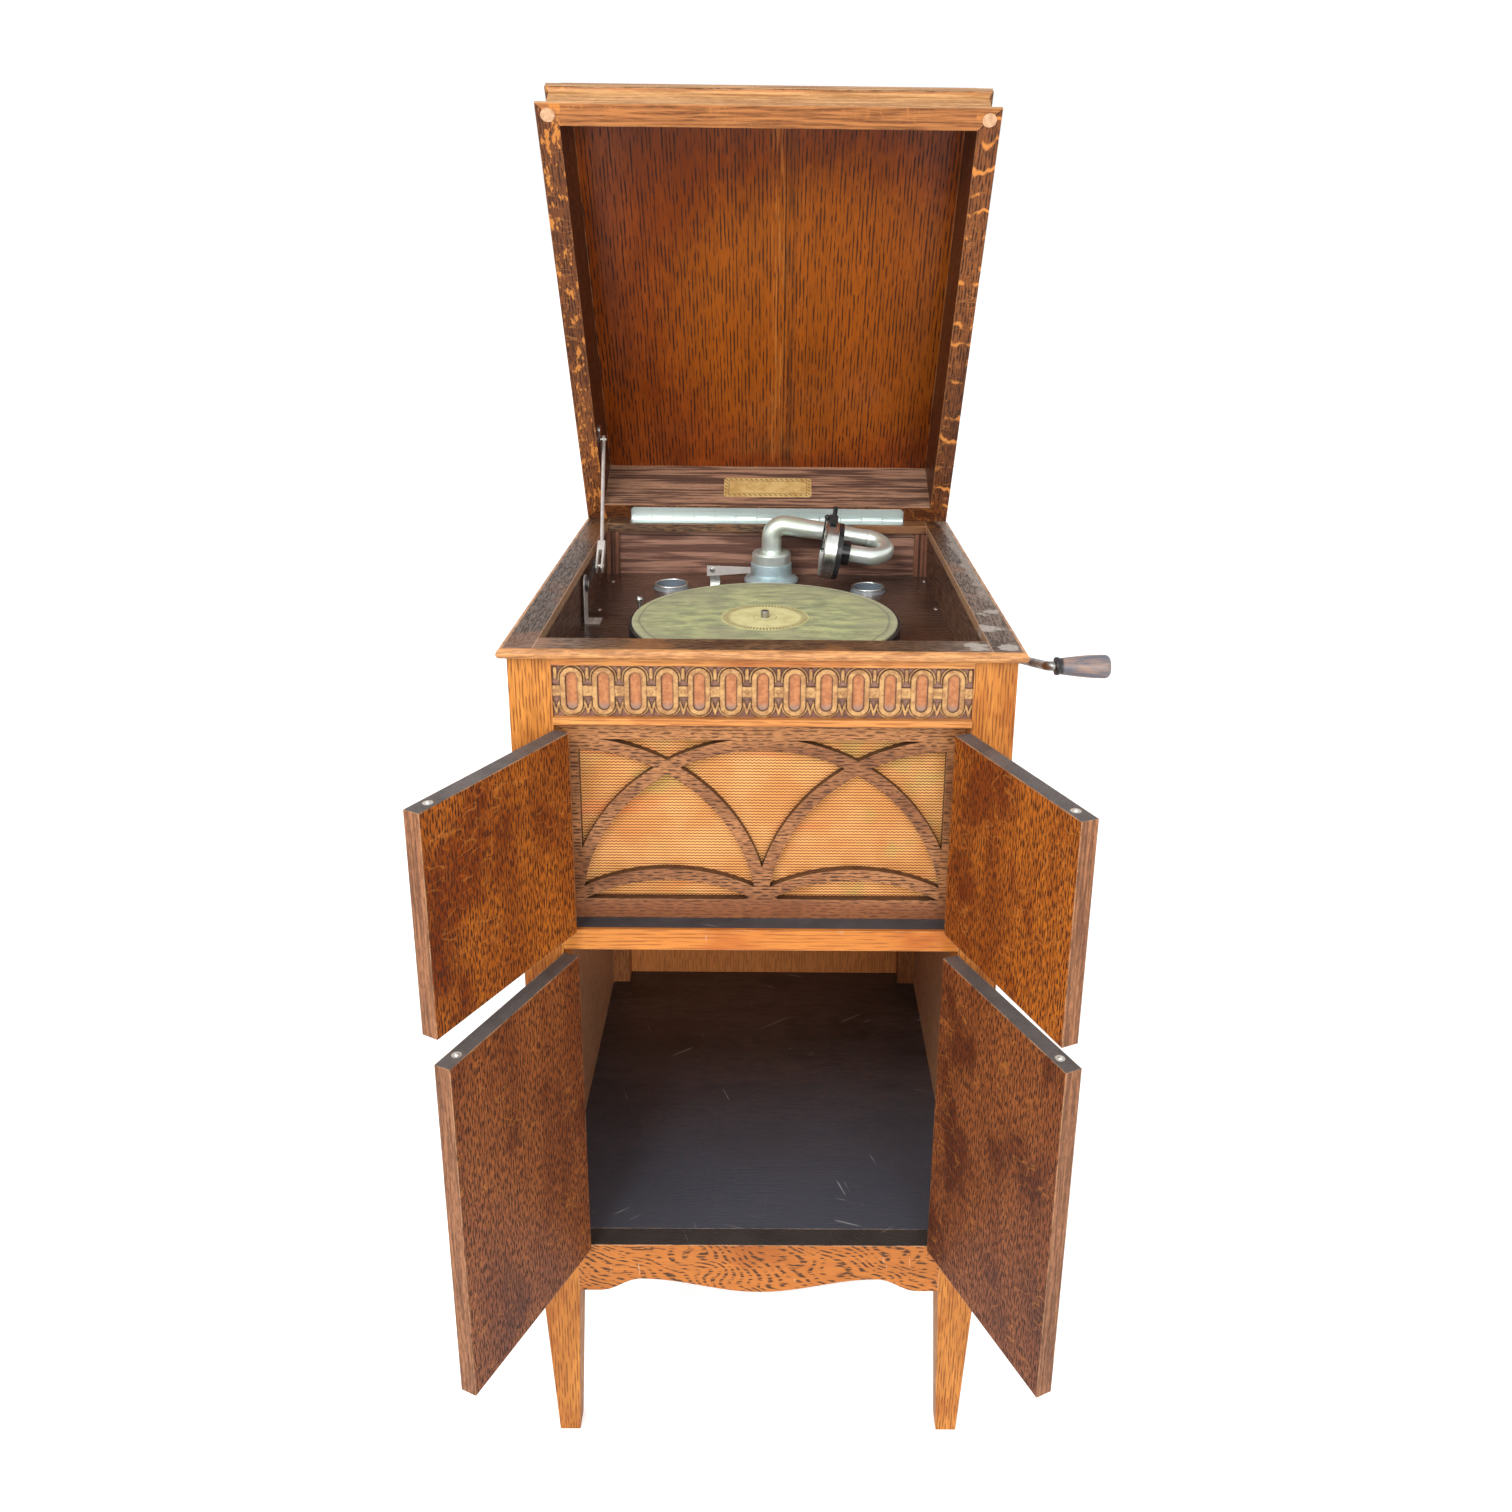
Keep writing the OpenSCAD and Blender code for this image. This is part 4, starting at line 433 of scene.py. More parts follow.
def frame_body(node):
    """The body that a CAD node rides on."""
    return next(b for b, held in frame["record"]["behaviour"]["bodies"].items() if node in held)


def clad(material, *names):
    """Puts a material on CAD nodes."""
    for name in names:
        for slot in nodes[name].material_slots:
            slot.material = material


def stained(t, colour, mask, stain, pores=None, depth=0.6):
    """Another stain where a mask says, in which the pores still show."""
    if pores is not None:
        stain = t.mix(t.times(pores, depth), stain, (0.012, 0.008, 0.006))
    return t.mix(mask, colour, stain)


def scratched(t, at, colour, amount, pale=(0.62, 0.55, 0.48)):
    """Pale scratches over a colour."""
    return t.mix(placed(t, scratches, {"Vector": at, "Amount": amount})["Mask"], colour, pale)


GOLD = {"light": (0.76, 0.31, 0.062), "deep": (0.45, 0.155, 0.026), "pore": (0.15, 0.04, 0.009)}
for name, nudge in (("post_front_left", 0.0), ("post_front_right", 0.6)):
    clad(oak("oak_" + name, "z", **GOLD, shift=(nudge, nudge, 0), Pitch=0.0032, Dash=0.02,
             Fine=700.0, Pores=0.75, Gather=0.7, rough=0.38), name)

BEADS = {"light": (0.85, 0.38, 0.11), "deep": (0.56, 0.22, 0.055), "pore": (0.26, 0.08, 0.02)}
clad(oak("oak_beads", "x", **BEADS, Pitch=0.003, Dash=0.03, Pores=0.6, wear=0.8), "frieze_beads")

SHELF = {"light": (0.82, 0.33, 0.07), "deep": (0.58, 0.2, 0.035), "pore": (0.3, 0.09, 0.02)}
SHELF_FRONT_Y = (-0.2705, -0.269)


def shelf_stain(t, at, facing, colour, pores):
    """The shelf is stained nearly black on top, behind its bright front edge."""
    back = t.smooth(t.split(at)[1], *SHELF_FRONT_Y)
    top = t.times(t.smooth(t.split(facing)[2], *ALONG), back)
    dusty = t.mix(t.noise(at, scale=30, detail=4), (0.03, 0.028, 0.03), (0.1, 0.1, 0.11))
    return scratched(t, at, stained(t, colour, top, dusty), 0.4)


clad(oak("oak_shelf", "x", **SHELF, Pitch=0.0034, Dash=0.03, Fine=800.0, Pores=0.75, Gather=0.9,
         extra=shelf_stain, wear=0.8), "mid_shelf")

APRON = {"light": (0.6, 0.205, 0.04), "deep": (0.42, 0.13, 0.024), "pore": (0.085, 0.035, 0.015)}


def apron_stain(t, at, facing, colour, pores):
    """The apron's top edge is stained like the floor behind it."""
    top = t.smooth(t.split(facing)[2], 0.6, 0.9)
    dark = t.mix(t.noise(at, scale=35, detail=4), (0.03, 0.027, 0.026), (0.075, 0.065, 0.06))
    return scratched(t, at, stained(t, colour, top, dark), 0.5, (0.8, 0.6, 0.4))


clad(oak("oak_apron", "x", **APRON, Pitch=0.0085, Wander=6.0, Wild=9.0, Slant=0.6, Dash=0.011,
         Fine=520.0, Pores=1.0, Gather=0.97, Clouds=0.3, shift=(0.12, 0, 0.07),
         extra=apron_stain, wear=0.9, worn=(0.85, 0.5, 0.28), soften=0.0018), "front_apron")

INSIDE = {"light": (0.5, 0.2, 0.07), "deep": (0.32, 0.12, 0.04), "pore": (0.1, 0.035, 0.014)}
MOTOR_BOARD_Z = 0.877


def well_stain(t, at, facing, colour, pores):
    """The corner posts are dark in the well, with upright lines."""
    x, _, z = t.split(at)
    nx, ny, _ = t.split(facing)
    seen = t.larger(t.smooth(ny, *AGAINST), inward(t, x, nx))
    well = t.times(seen, t.smooth(z, MOTOR_BOARD_Z, MOTOR_BOARD_Z + 0.002))
    lines = t.smooth(t.noise(at, (170, 170, 3), detail=1), 0.44, 0.56)
    lined = t.mix(lines, (0.26, 0.11, 0.065), (0.07, 0.03, 0.02))
    return stained(t, colour, well, lined, pores, 0.5)


clad(oak("oak_back_posts", "z", **INSIDE, Pitch=0.003, Pores=0.6, extra=well_stain),
     "post_back_left", "post_back_right")

CASE = {"light": (0.5, 0.19, 0.055), "deep": (0.32, 0.11, 0.028), "pore": (0.1, 0.035, 0.012)}


def side_stain(t, at, facing, colour, pores):
    """Inside the cupboard the sides are browner than outside."""
    across = t.times(t.split(at)[0], t.split(facing)[0])
    indoors = t.times(t.below(across, 0), 0.75)
    return stained(t, colour, indoors, (0.5, 0.28, 0.16), pores, 0.35)


clad(oak("oak_sides", "z", **CASE, Pitch=0.004, Dash=0.018, Pores=0.8, Flecks=0.35,
         Fleck=(0.7, 0.32, 0.12), extra=side_stain), "side_panel_left", "side_panel_right")

# The height of a painted shadow line on the back board
PANEL_SHADOW_Z = (0.9402, 0.9414)


def back_stain(t, at, facing, colour, pores):
    """The back board: greyer brown in the well, with the shadow line of its panel."""
    z = t.split(at)[2]
    waves = t.noise(at, (9, 60, 160), detail=3)
    brown = t.mix(t.smooth(waves, 0.4, 0.58), (0.4, 0.21, 0.145), (0.15, 0.07, 0.05))
    # Painted shadow: a near-black line across the back board in the well
    brown = t.mix(t.band(z, *PANEL_SHADOW_Z), brown, (0.02, 0.012, 0.01))
    inside = t.smooth(t.split(facing)[1], *AGAINST, 0, 0.8)
    well = t.smooth(z, MOTOR_BOARD_Z - 0.002, MOTOR_BOARD_Z + 0.002)
    well = t.times(well, t.above(inside, 0.1))
    colour = t.mix(inside, colour, t.mix(pores, (0.74, 0.27, 0.075), (0.4, 0.13, 0.04)))
    return stained(t, colour, well, brown, pores, 0.3)


clad(oak("oak_back", level_above(MOTOR_BOARD_Z), **CASE, Pitch=0.004, Dash=0.02, Pores=0.7,
         extra=back_stain), "back_panel")
clad(oak("oak_bottom_rails", "y", **CASE, Pitch=0.004), "bottom_rails")

# The flat of the rim: half its width outside and inside, the reach of its front, and its height
RIM_HALF, RIM_INNER, RIM_FRONT, RIM_TOP = 0.2422, 0.2138, 0.2824, 0.958
# How far its mitres run in, and how much wider its front rail is than its side rails
RIM_RAIL, RIM_SKEW = 0.0375, 32.7 / 28.4
RIM = {"light": (0.27, 0.15, 0.075), "deep": (0.13, 0.068, 0.036), "pore": (0.035, 0.018, 0.01)}
# The rubbed strip along the right rail, and how ragged its edge is
STRIP_X, STRIP_Y, STRIP_RAGGED = (0.2475, 0.2515), (-0.15, -0.04), 0.034
# Places where the finish of the rim is rubbed through, with their reach
RUBBED = (
    ((0.232, -0.152, RIM_TOP), 0.012), ((0.222, -0.205, RIM_TOP), 0.012),
    ((0.205, -0.27, RIM_TOP), 0.012), ((0.229, -0.268, RIM_TOP), 0.009),
)


def rim_stain(t, at, facing, colour, pores):
    """Bright rounded edges, a rubbed strip along the right rail, and ruddy patches."""
    x, y, _ = t.split(at)
    from_middle = t.absolute(x)
    side = t.smooth(from_middle, RIM_HALF - 0.0015, RIM_HALF + 0.001)
    front = t.smooth(t.times(y, -1), RIM_FRONT - 0.0015, RIM_FRONT + 0.001)
    streak = t.noise(at, (30, 30, 400), detail=3)
    bright = t.mix(t.smooth(streak, 0.3, 0.7), (0.68, 0.32, 0.115), (0.38, 0.155, 0.05))
    ruddy = t.noise(t.vector("ADD", at, (2, 5, 1)), scale=11, detail=3)
    colour = t.mix(t.smooth(ruddy, 0.5, 0.6, 0, 0.55), colour, (0.34, 0.14, 0.05))
    side_rail = t.smooth(from_middle, RIM_INNER - 0.0004, RIM_INNER + 0.0004, 0, 0.9)
    colour = t.mix(side_rail, colour, (0.62, 0.56, 0.5), "MULTIPLY")
    ragged = t.noise(at, (60, 26, 1), detail=5, rough=0.7)
    strip = t.smooth(t.math("MULTIPLY_ADD", ragged, STRIP_RAGGED, x), *STRIP_X)
    strip = t.times(strip, t.smooth(y, *STRIP_Y, 0.1, 1), 0.7)
    colour = t.mix(strip, colour, (0.33, 0.27, 0.22))
    arris = t.band(from_middle, RIM_INNER - 0.0002, RIM_INNER + 0.0009, 0.0003)
    colour = t.mix(t.times(arris, 0.6), colour, (0.6, 0.34, 0.19))
    for place, reach in RUBBED:
        inputs = {"Vector": at, "Place": place, "Reach": reach, "Ragged": 0.012}
        bare = t.times(placed(t, blot, inputs)["Mask"], 0.75)
        colour = t.mix(bare, colour, (0.46, 0.4, 0.35))
    return stained(t, colour, t.larger(side, front), bright, pores, 0.35)


clad(oak("oak_rim", mitred(RIM_HALF, RIM_FRONT, RIM_RAIL, RIM_SKEW), **RIM, Pitch=0.003,
         Dash=0.01, Fine=700.0, Pores=0.95, Gather=0.3, wear=0.85, rough=0.34, shine=0.35,
         worn=(0.75, 0.36, 0.14), extra=rim_stain), "rim_frame")

LINER = {"light": (0.2, 0.095, 0.055), "deep": (0.11, 0.05, 0.03), "pore": (0.04, 0.018, 0.012)}
clad(oak("oak_liners", "y", **LINER, Pitch=0.004, Dash=0.03, coat=0.3), "well_liners")

# The lid's finishes are laid out with the lid shut: how far it turns, and about what
LID_TURN, LID_HINGE = (radians(61.8), 0, 0), (0, 0.2834, 0.9585)
LID_SEAM_X, LID_STEP_Z = 0.02, 1.02
LID_REAR_Y, LID_AHEAD_Y = (0.1, 0.2), (-0.1, -0.2)
LID_LEFT_X, LID_RIGHT_X = (-0.219, -0.217), (0.217, 0.219)
AMBER = {"Place": (0.075, 0.03, 1.045), "Reach": 0.22, "Ragged": 0.03}
LID = {"light": (0.33, 0.066, 0.006), "deep": (0.19, 0.034, 0.003), "pore": (0.04, 0.009, 0.003)}


def lined_brown(t, at):
    """The lid's back wall: brown with wavy dark lines."""
    x, _, z = t.split(at)
    warp = t.noise(at, (7, 20, 20))
    lines = t.noise(t.join(t.times(x, 9), warp, t.times(z, 260)), detail=3)
    return t.mix(t.smooth(lines, 0.42, 0.58), (0.41, 0.225, 0.14), (0.115, 0.06, 0.043))


def lid_inside(t, at, facing, colour, pores):
    """Two boards with a seam and an amber middle, dark sides, a front moulding lightened with
    painted light, and a browner outside.
    """
    x, y, z = t.split(at)
    nx, ny, nz = t.split(facing)
    amber = t.times(placed(t, blot, {"Vector": at, **AMBER})["Mask"], 0.4)
    colour = t.mix(amber, colour, t.mix(pores, (0.45, 0.12, 0.008), (0.1, 0.024, 0.004)))
    beside = t.minus(x, LID_SEAM_X)
    streaks = t.smooth(t.noise(at, (420, 14, 9)), 0.5, 0.58)
    pale = t.times(t.band(beside, -0.016, 0.0, 0.005), streaks, 0.35)
    colour = t.mix(pale, colour, (0.6, 0.22, 0.045))
    dark = t.smooth(t.noise(at, (240, 18, 9)), 0.35, 0.6, 0.1, 0.6)
    dark = t.times(t.band(beside, 0.001, 0.013, 0.006), dark)
    colour = t.mix(dark, colour, (0.06, 0.018, 0.006))
    seam = t.smooth(t.absolute(beside), 0.0003, 0.0008, 0.9, 0)
    colour = t.mix(seam, colour, (0.012, 0.006, 0.003))
    colour = stained(t, colour, inward(t, x, nx), (0.075, 0.022, 0.009), pores, 0.4)
    behind = t.times(t.smooth(ny, *AGAINST), t.smooth(y, *LID_REAR_Y))
    colour = stained(t, colour, behind, lined_brown(t, at), pores, 0.3)
    # Painted light: with the lid open the front moulding faces up, so it is painted far lighter
    # than the lid's other faces
    ahead = t.times(t.smooth(ny, -0.3, -0.6), t.smooth(y, *LID_AHEAD_Y), 0.9)
    raised = t.smooth(z, LID_STEP_Z - 0.001, LID_STEP_Z + 0.001)
    fibres = t.smooth(t.noise(at, (11, 300, 300), detail=3), 0.36, 0.62)
    light = t.mix(raised, (0.62, 0.33, 0.125), (0.58, 0.25, 0.125))
    dark = t.mix(raised, (0.34, 0.16, 0.055), (0.33, 0.125, 0.055))
    colour = stained(t, colour, ahead, t.mix(fibres, light, dark), pores, 0.4)
    outward = t.above(t.times(x, nx), 0.05)
    back = t.times(t.smooth(ny, *ALONG), t.smooth(y, *LID_REAR_Y))
    outside = t.larger(t.smooth(nz, 0.2, 0.6), t.larger(outward, back))
    brown = t.mix(t.times(pores, 0.8), (0.5, 0.205, 0.065), (0.13, 0.045, 0.016))
    return t.mix(t.times(outside, 0.9), colour, brown)


clad(oak("oak_lid_top", "y", **LID, turn=LID_TURN, pivot=LID_HINGE, Pitch=0.0046, Wander=1.2,
         Dash=0.02, Fine=700.0, Pores=1.0, Gather=0.85, Clouds=0.25, rough=0.3, coat=0.25,
         extra=lid_inside), "lid_top")

# The lid's frame: half its width, its middle, half its depth and the thickness of its walls
LID_HALF, LID_MID_Y, LID_DEPTH, LID_WALL = 0.2444, 0.002, 0.2829, 0.024
FRAME = {"light": (0.3, 0.095, 0.024), "deep": (0.15, 0.045, 0.013), "pore": (0.04, 0.014, 0.006)}


def lid_walls(t, at, facing, colour, pores):
    """Flecked left side, waved right side, dark inner walls and a front lightened with painted
    light.
    """
    x, y, _ = t.split(at)
    nx, ny, nz = t.split(facing)
    under = t.smooth(nz, *AGAINST)
    warp = t.noise(at, (42, 16, 16), rough=0.6)
    waves = t.math("SINE", t.math("MULTIPLY_ADD", warp, 13, t.times(y, 230)))
    broken = t.smooth(t.noise(at, scale=55, detail=3), 0.46, 0.6)
    wave = t.times(t.smooth(waves, 0.6, 1.0), t.smooth(x, *LID_RIGHT_X), broken)
    colour = t.mix(t.times(wave, under), colour, (0.66, 0.24, 0.05))
    from_side = t.minus(LID_HALF, t.absolute(x))
    from_front = t.plus(y, LID_DEPTH - LID_MID_Y)
    ahead = t.times(under, t.smooth(t.minus(from_side, from_front), 0, 0.0004))
    streaks = t.smooth(t.noise(at, (16, 330, 20), detail=3), 0.35, 0.65, 0.2, 0.85)
    colour = t.mix(t.times(ahead, streaks), colour, (0.55, 0.21, 0.062))
    patch = t.smooth(t.noise(at, (150, 55, 60), detail=3, rough=0.6), 0.55, 0.62)
    patch = t.times(patch, t.smooth(x, *LID_LEFT_X, 1, 0), under, 0.8)
    colour = t.mix(patch, colour, (0.66, 0.24, 0.045))
    colour = stained(t, colour, inward(t, x, nx), (0.085, 0.022, 0.008), pores, 0.5)
    behind = t.times(t.smooth(ny, *AGAINST), t.smooth(y, *LID_REAR_Y))
    colour = stained(t, colour, behind, lined_brown(t, at), pores, 0.3)
    # Painted light: with the lid open the front tier faces up, so it is painted a light gold
    lines = t.noise(at, (12, 60, 240), detail=3)
    front = t.times(t.smooth(ny, *AGAINST), t.smooth(y, *LID_AHEAD_Y))
    gold = t.mix(t.smooth(lines, 0.35, 0.65), (0.66, 0.35, 0.14), (0.4, 0.18, 0.06))
    return stained(t, colour, front, gold, pores, 0.3)


clad(oak("oak_lid_frame", mitred(LID_HALF, LID_DEPTH, LID_WALL, centre=LID_MID_Y), **FRAME,
         turn=LID_TURN, pivot=LID_HINGE, Pitch=0.0036, Dash=0.012, Fine=640.0, Pores=1.0,
         Gather=0.6, Flecks=0.25, Fleck=(0.75, 0.3, 0.08), rough=0.34, extra=lid_walls),
     "lid_frame")

DOOR = {"light": (0.54, 0.155, 0.015), "deep": (0.28, 0.066, 0.006), "pore": (0.05, 0.011, 0.003)}
LOW_DOOR = {"light": (0.36, 0.11, 0.026), "deep": (0.2, 0.05, 0.012), "pore": (0.04, 0.012, 0.005)}
# Each door's hinge: how far it stands from the middle, and how far the door has swung
HINGE_Y = -0.2748
HINGES = {
    "upper_left": (-0.199, 118), "upper_right": (0.199, -113),
    "lower_left": (-0.199, 115), "lower_right": (0.199, -115),
}


def door_faces(t, at, facing, colour, pores):
    """Golden outer face, brown long edges and nearly black ends."""
    nx, ny, nz = t.split(facing)
    outer = t.smooth(ny, *AGAINST)
    fibres = t.smooth(t.noise(at, (300, 300, 9), detail=3), 0.34, 0.66)
    golden = t.mix(fibres, (0.64, 0.255, 0.055), (0.42, 0.15, 0.028))
    colour = stained(t, colour, outer, golden, pores, 0.6)
    side = t.smooth(t.absolute(nx), *ALONG)
    grain = t.noise(at, (420, 420, 12), detail=3)
    brown = t.mix(t.smooth(grain, 0.35, 0.65), (0.34, 0.14, 0.06), (0.17, 0.065, 0.028))
    colour = stained(t, colour, side, brown, pores, 0.35)
    ends = t.smooth(t.absolute(nz), *ALONG)
    grey = t.mix(t.noise(at, scale=40, detail=4), (0.04, 0.032, 0.03), (0.17, 0.14, 0.13))
    return stained(t, colour, ends, grey)


# Each door's coordinates are shifted, so that no two doors share their grain
for name, (hinge_x, angle) in HINGES.items():
    stain = DOOR if "upper" in name else LOW_DOOR
    clad(oak("oak_door_" + name, "z", **stain, turn=(0, 0, radians(angle)),
             pivot=(hinge_x, HINGE_Y, 0), shift=(hinge_x * 3, angle * 0.01, 0), Pitch=0.0034,
             Dash=0.0085, Fine=600.0, Pores=1.0, Gather=0.35, Clouds=0.75, Flecks=0.3,
             Fleck=(0.6, 0.22, 0.04), end=0, extra=door_faces, wear=0.95, soften=0.002),
         "door_" + name)

# The carving: the levels of its ground and its proud work, its middle, and its loops' pitch
CARVED_GROUND, CARVED_PROUD, CARVED_MID, LOOP_PITCH = -0.2712, -0.2719, 0.9125, 0.0301
OVAL_HALF_LENGTH, OVAL_EDGE = 0.0135, (0.0044, 0.0056)
CARVED = {"light": (0.34, 0.175, 0.12), "deep": (0.2, 0.095, 0.068), "pore": (0.1, 0.045, 0.03)}


def carving(t, at, facing, colour, pores):
    """Tan loops on a mauve ground, ruddy ovals with a painted highlight low in each, and stain with
    painted shade along the edges and walls of the cuts.
    """
    x, y, z = t.split(at)
    proud = t.smooth(y, CARVED_GROUND, CARVED_PROUD)
    rubbed = t.noise(at, scale=170, detail=4, rough=0.65)
    tan = t.mix(t.smooth(rubbed, 0.35, 0.65), (0.58, 0.33, 0.13), (0.34, 0.165, 0.065))
    colour = t.mix(proud, colour, tan)
    repeat = t.math("FRACT", t.math("MULTIPLY_ADD", x, 1 / LOOP_PITCH, 0.5))
    off = t.times(t.absolute(t.minus(repeat, 0.5)), LOOP_PITCH)
    up = t.larger(t.minus(t.absolute(t.minus(z, CARVED_MID)), OVAL_HALF_LENGTH), 0)
    reach = t.math("SQRT", t.plus(t.times(off, off), t.times(up, up)))
    oval = t.times(t.smooth(reach, *OVAL_EDGE, 1, 0), t.minus(1, proud))
    # Painted highlight: the low end of each oval turns a bluish grey
    lower = t.smooth(z, CARVED_MID - 0.017, CARVED_MID - 0.009, 0.75, 0)
    ruddy = t.mix(t.smooth(rubbed, 0.4, 0.6), (0.5, 0.2, 0.08), (0.38, 0.14, 0.055))
    ruddy = t.mix(lower, ruddy, (0.3, 0.21, 0.17))
    colour = t.mix(oval, colour, ruddy)
    # Darker along the edges of the cuts, most on the ground, and on the carving's walls: stain in
    # the crevices with painted shade
    soft = placed(t, worn_edges, {"Vector": at, "Radius": 0.0018, "Ragged": 0.0})["Mask"]
    foot = t.times(soft, t.math("MULTIPLY_ADD", proud, -0.5, 0.95))
    colour = t.mix(foot, colour, (0.07, 0.032, 0.02))
    wall = t.smooth(t.absolute(t.split(facing)[1]), 0.3, 0.7, 1, 0)
    return t.mix(t.times(wall, 0.8), colour, (0.1, 0.045, 0.025))


clad(oak("oak_frieze", "x", **CARVED, Pitch=0.004, Dash=0.006, Pores=0.5, rough=0.45,
         extra=carving, wear=0.0, soften=0.0022), "frieze_rail")

FRET = {"light": (0.5, 0.22, 0.085), "deep": (0.26, 0.1, 0.038), "pore": (0.055, 0.022, 0.011)}
FRET_FOOT_Z, FRET_HEAD_Z = (0.672, 0.684), (0.838, 0.862)


def fret_stain(t, at, facing, colour, pores):
    """Cut edges darkened with painted shade, a ruddier lower rail and a paler upper one."""
    z = t.split(at)[2]
    head = t.smooth(z, *FRET_HEAD_Z, 0, 0.65)
    colour = t.mix(head, colour, t.mix(pores, (0.7, 0.31, 0.11), (0.2, 0.08, 0.03)))
    colour = t.mix(t.smooth(z, *FRET_FOOT_Z, 0.5, 0), colour, (0.24, 0.08, 0.035))
    # Painted shade: the faces that do not look forward, the cut edges, are darkened
    painted_edge_shade = t.smooth(t.split(facing)[1], -0.8, -0.4, 0, 0.8)
    return t.mix(painted_edge_shade, colour, (0.06, 0.028, 0.016))


clad(oak("oak_fret", "x", **FRET, Pitch=0.003, Dash=0.01, Fine=640.0, Pores=1.0,
         extra=fret_stain, wear=0.4), "grille_fret")

DARK = {"light": (0.085, 0.058, 0.05), "deep": (0.045, 0.032, 0.029), "pore": (0.016, 0.012, 0.012)}


def cupboard_floor(t, at, facing, colour, pores):
    """A painted blue-grey reflection of the sky towards the front, with scratches and a pale front
    edge.
    """
    y = t.split(at)[1]
    # Painted reflection: a blue-grey sky sheen, broken by clouds, that grows towards the front
    painted_sky_reflection = t.math("MULTIPLY_ADD", t.noise(at, scale=7, detail=4), 0.3, t.times(y, -1.6))
    colour = t.mix(t.smooth(painted_sky_reflection, -0.1, 0.55, 0.0, 0.85), colour, (0.078, 0.092, 0.12))
    return scratched(t, at, colour, 0.55, (0.5, 0.5, 0.5))


clad(oak("oak_floor", "x", **DARK, Pitch=0.004, Dash=0.02, Pores=0.6, rough=0.34, coat=0.15,
         extra=cupboard_floor, wear=0.8, worn=(0.6, 0.48, 0.38), shine=0.4), "floor_board")

BOARD = {"light": (0.12, 0.066, 0.046), "deep": (0.065, 0.04, 0.031), "pore": (0.022, 0.015, 0.012)}


def board_bloom(t, at, facing, colour, pores):
    """Ruddy clouds and fine scratches on the motor board."""
    ruddy = t.smooth(t.noise(at, scale=6, detail=3), 0.45, 0.65, 0, 0.5)
    colour = t.mix(ruddy, colour, (0.13, 0.05, 0.022))
    return scratched(t, at, colour, 0.3, (0.4, 0.35, 0.32))


clad(oak("oak_motor_board", "x", **BOARD, Pitch=0.006, Dash=0.03, Pores=0.5, Gather=0.8,
         rough=0.2, coat=0.4, extra=board_bloom, shine=0.4), "motor_board")


def metal(name, colour, dull, rough=0.25, spread=0.15, grain=(60, 60, 60), metallic=1.0,
          extra=None, turn=(0, 0, 0), pivot=(0, 0, 0)):
    """A metal or, where metallic is 0, another smooth finish, with clouds of a duller tone.

    extra(t, at, tint) may paint over it.
    """
    made, t, shader = finish(name)
    at = resting(t, turn, pivot)
    cloud = t.smooth(t.noise(at, grain, detail=4, rough=0.6), 0.35, 0.7)
    tint = t.mix(cloud, colour, dull)
    if extra:
        tint = extra(t, at, tint)
    edges = placed(t, worn_edges, {"Vector": at, "Radius": 0.0006, "Amount": 0.35})
    tint = t.mix(edges["Mask"], tint, [min(1, c * 1.5) for c in colour])
    gloss = t.math("MULTIPLY_ADD", cloud, spread, rough)
    shade(t, shader, Base_Color=tint, Metallic=metallic, Roughness=gloss, Normal=edges["Normal"])
    return made


# The piano hinge: the length of a knuckle, and how far its barrel reaches from its pin
KNUCKLE, BARREL_EDGE = 0.0285, (0.0028, 0.0032)
# Half the plaque's width and height, and the height of its middle
PLAQUE_HALF, PLAQUE_MID = (0.06, 0.02), 0.999
# Its border, by how far it lies inside the plaque's edge
BORDER_LEAVES, BORDER_LINE, LEAF_WAVES = (0.0014, 0.0052), (0.0062, 0.0072), 900
CATCH_TOP = {side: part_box("door_" + side)[1][2] for side in HINGES}
GRIP_COLLAR_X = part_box("crank_grip")[0][0] + 0.006


def knuckles(t, at, tint):
    """Fine dark lines where the knuckles of the hinge meet."""
    from_pin = t.stretch(t.offset(at, LID_HINGE), (0, 1, 1))
    barrel = t.smooth(t.vector("LENGTH", from_pin), *BARREL_EDGE, 1, 0.12)
    step = t.math("FRACT", t.over(t.split(at)[0], KNUCKLE))
    line = t.smooth(t.absolute(t.minus(step, 0.5)), 0.012, 0.035, 0.6, 0)
    return t.mix(t.times(line, barrel), tint, (0.12, 0.12, 0.1))


def plaque_border(t, at, tint):
    """A plain line and a row of leaves round the plaque."""
    x, _, z = t.split(at)
    in_x = t.minus(PLAQUE_HALF[0], t.absolute(x))
    in_z = t.minus(PLAQUE_HALF[1], t.absolute(t.minus(z, PLAQUE_MID)))
    inside = t.math("MINIMUM", in_x, in_z)
    line = t.band(inside, *BORDER_LINE)
    leaf = t.smooth(t.math("SINE", t.times(t.plus(x, z), LEAF_WAVES)), 0.1, 0.6)
    leaves = t.times(leaf, t.band(inside, *BORDER_LEAVES, 0.0006))
    return t.mix(t.times(t.larger(line, leaves), 0.75), tint, (0.2, 0.11, 0.035))


def catch_ball(top):
    """The ball that stands above the top of a door is bright."""
    def paint(t, at, tint):
        above = t.smooth(t.split(at)[2], top - 0.0005, top + 0.0003)
        return t.mix(above, tint, (0.92, 0.92, 0.88))
    return paint


def grip_collar(t, at, tint):
    """The grip is plain black at the collar, without the painted sheen."""
    collar = t.smooth(t.split(at)[0], GRIP_COLLAR_X, GRIP_COLLAR_X + 0.003, 1, 0)
    return t.mix(collar, tint, (0.02, 0.017, 0.017))


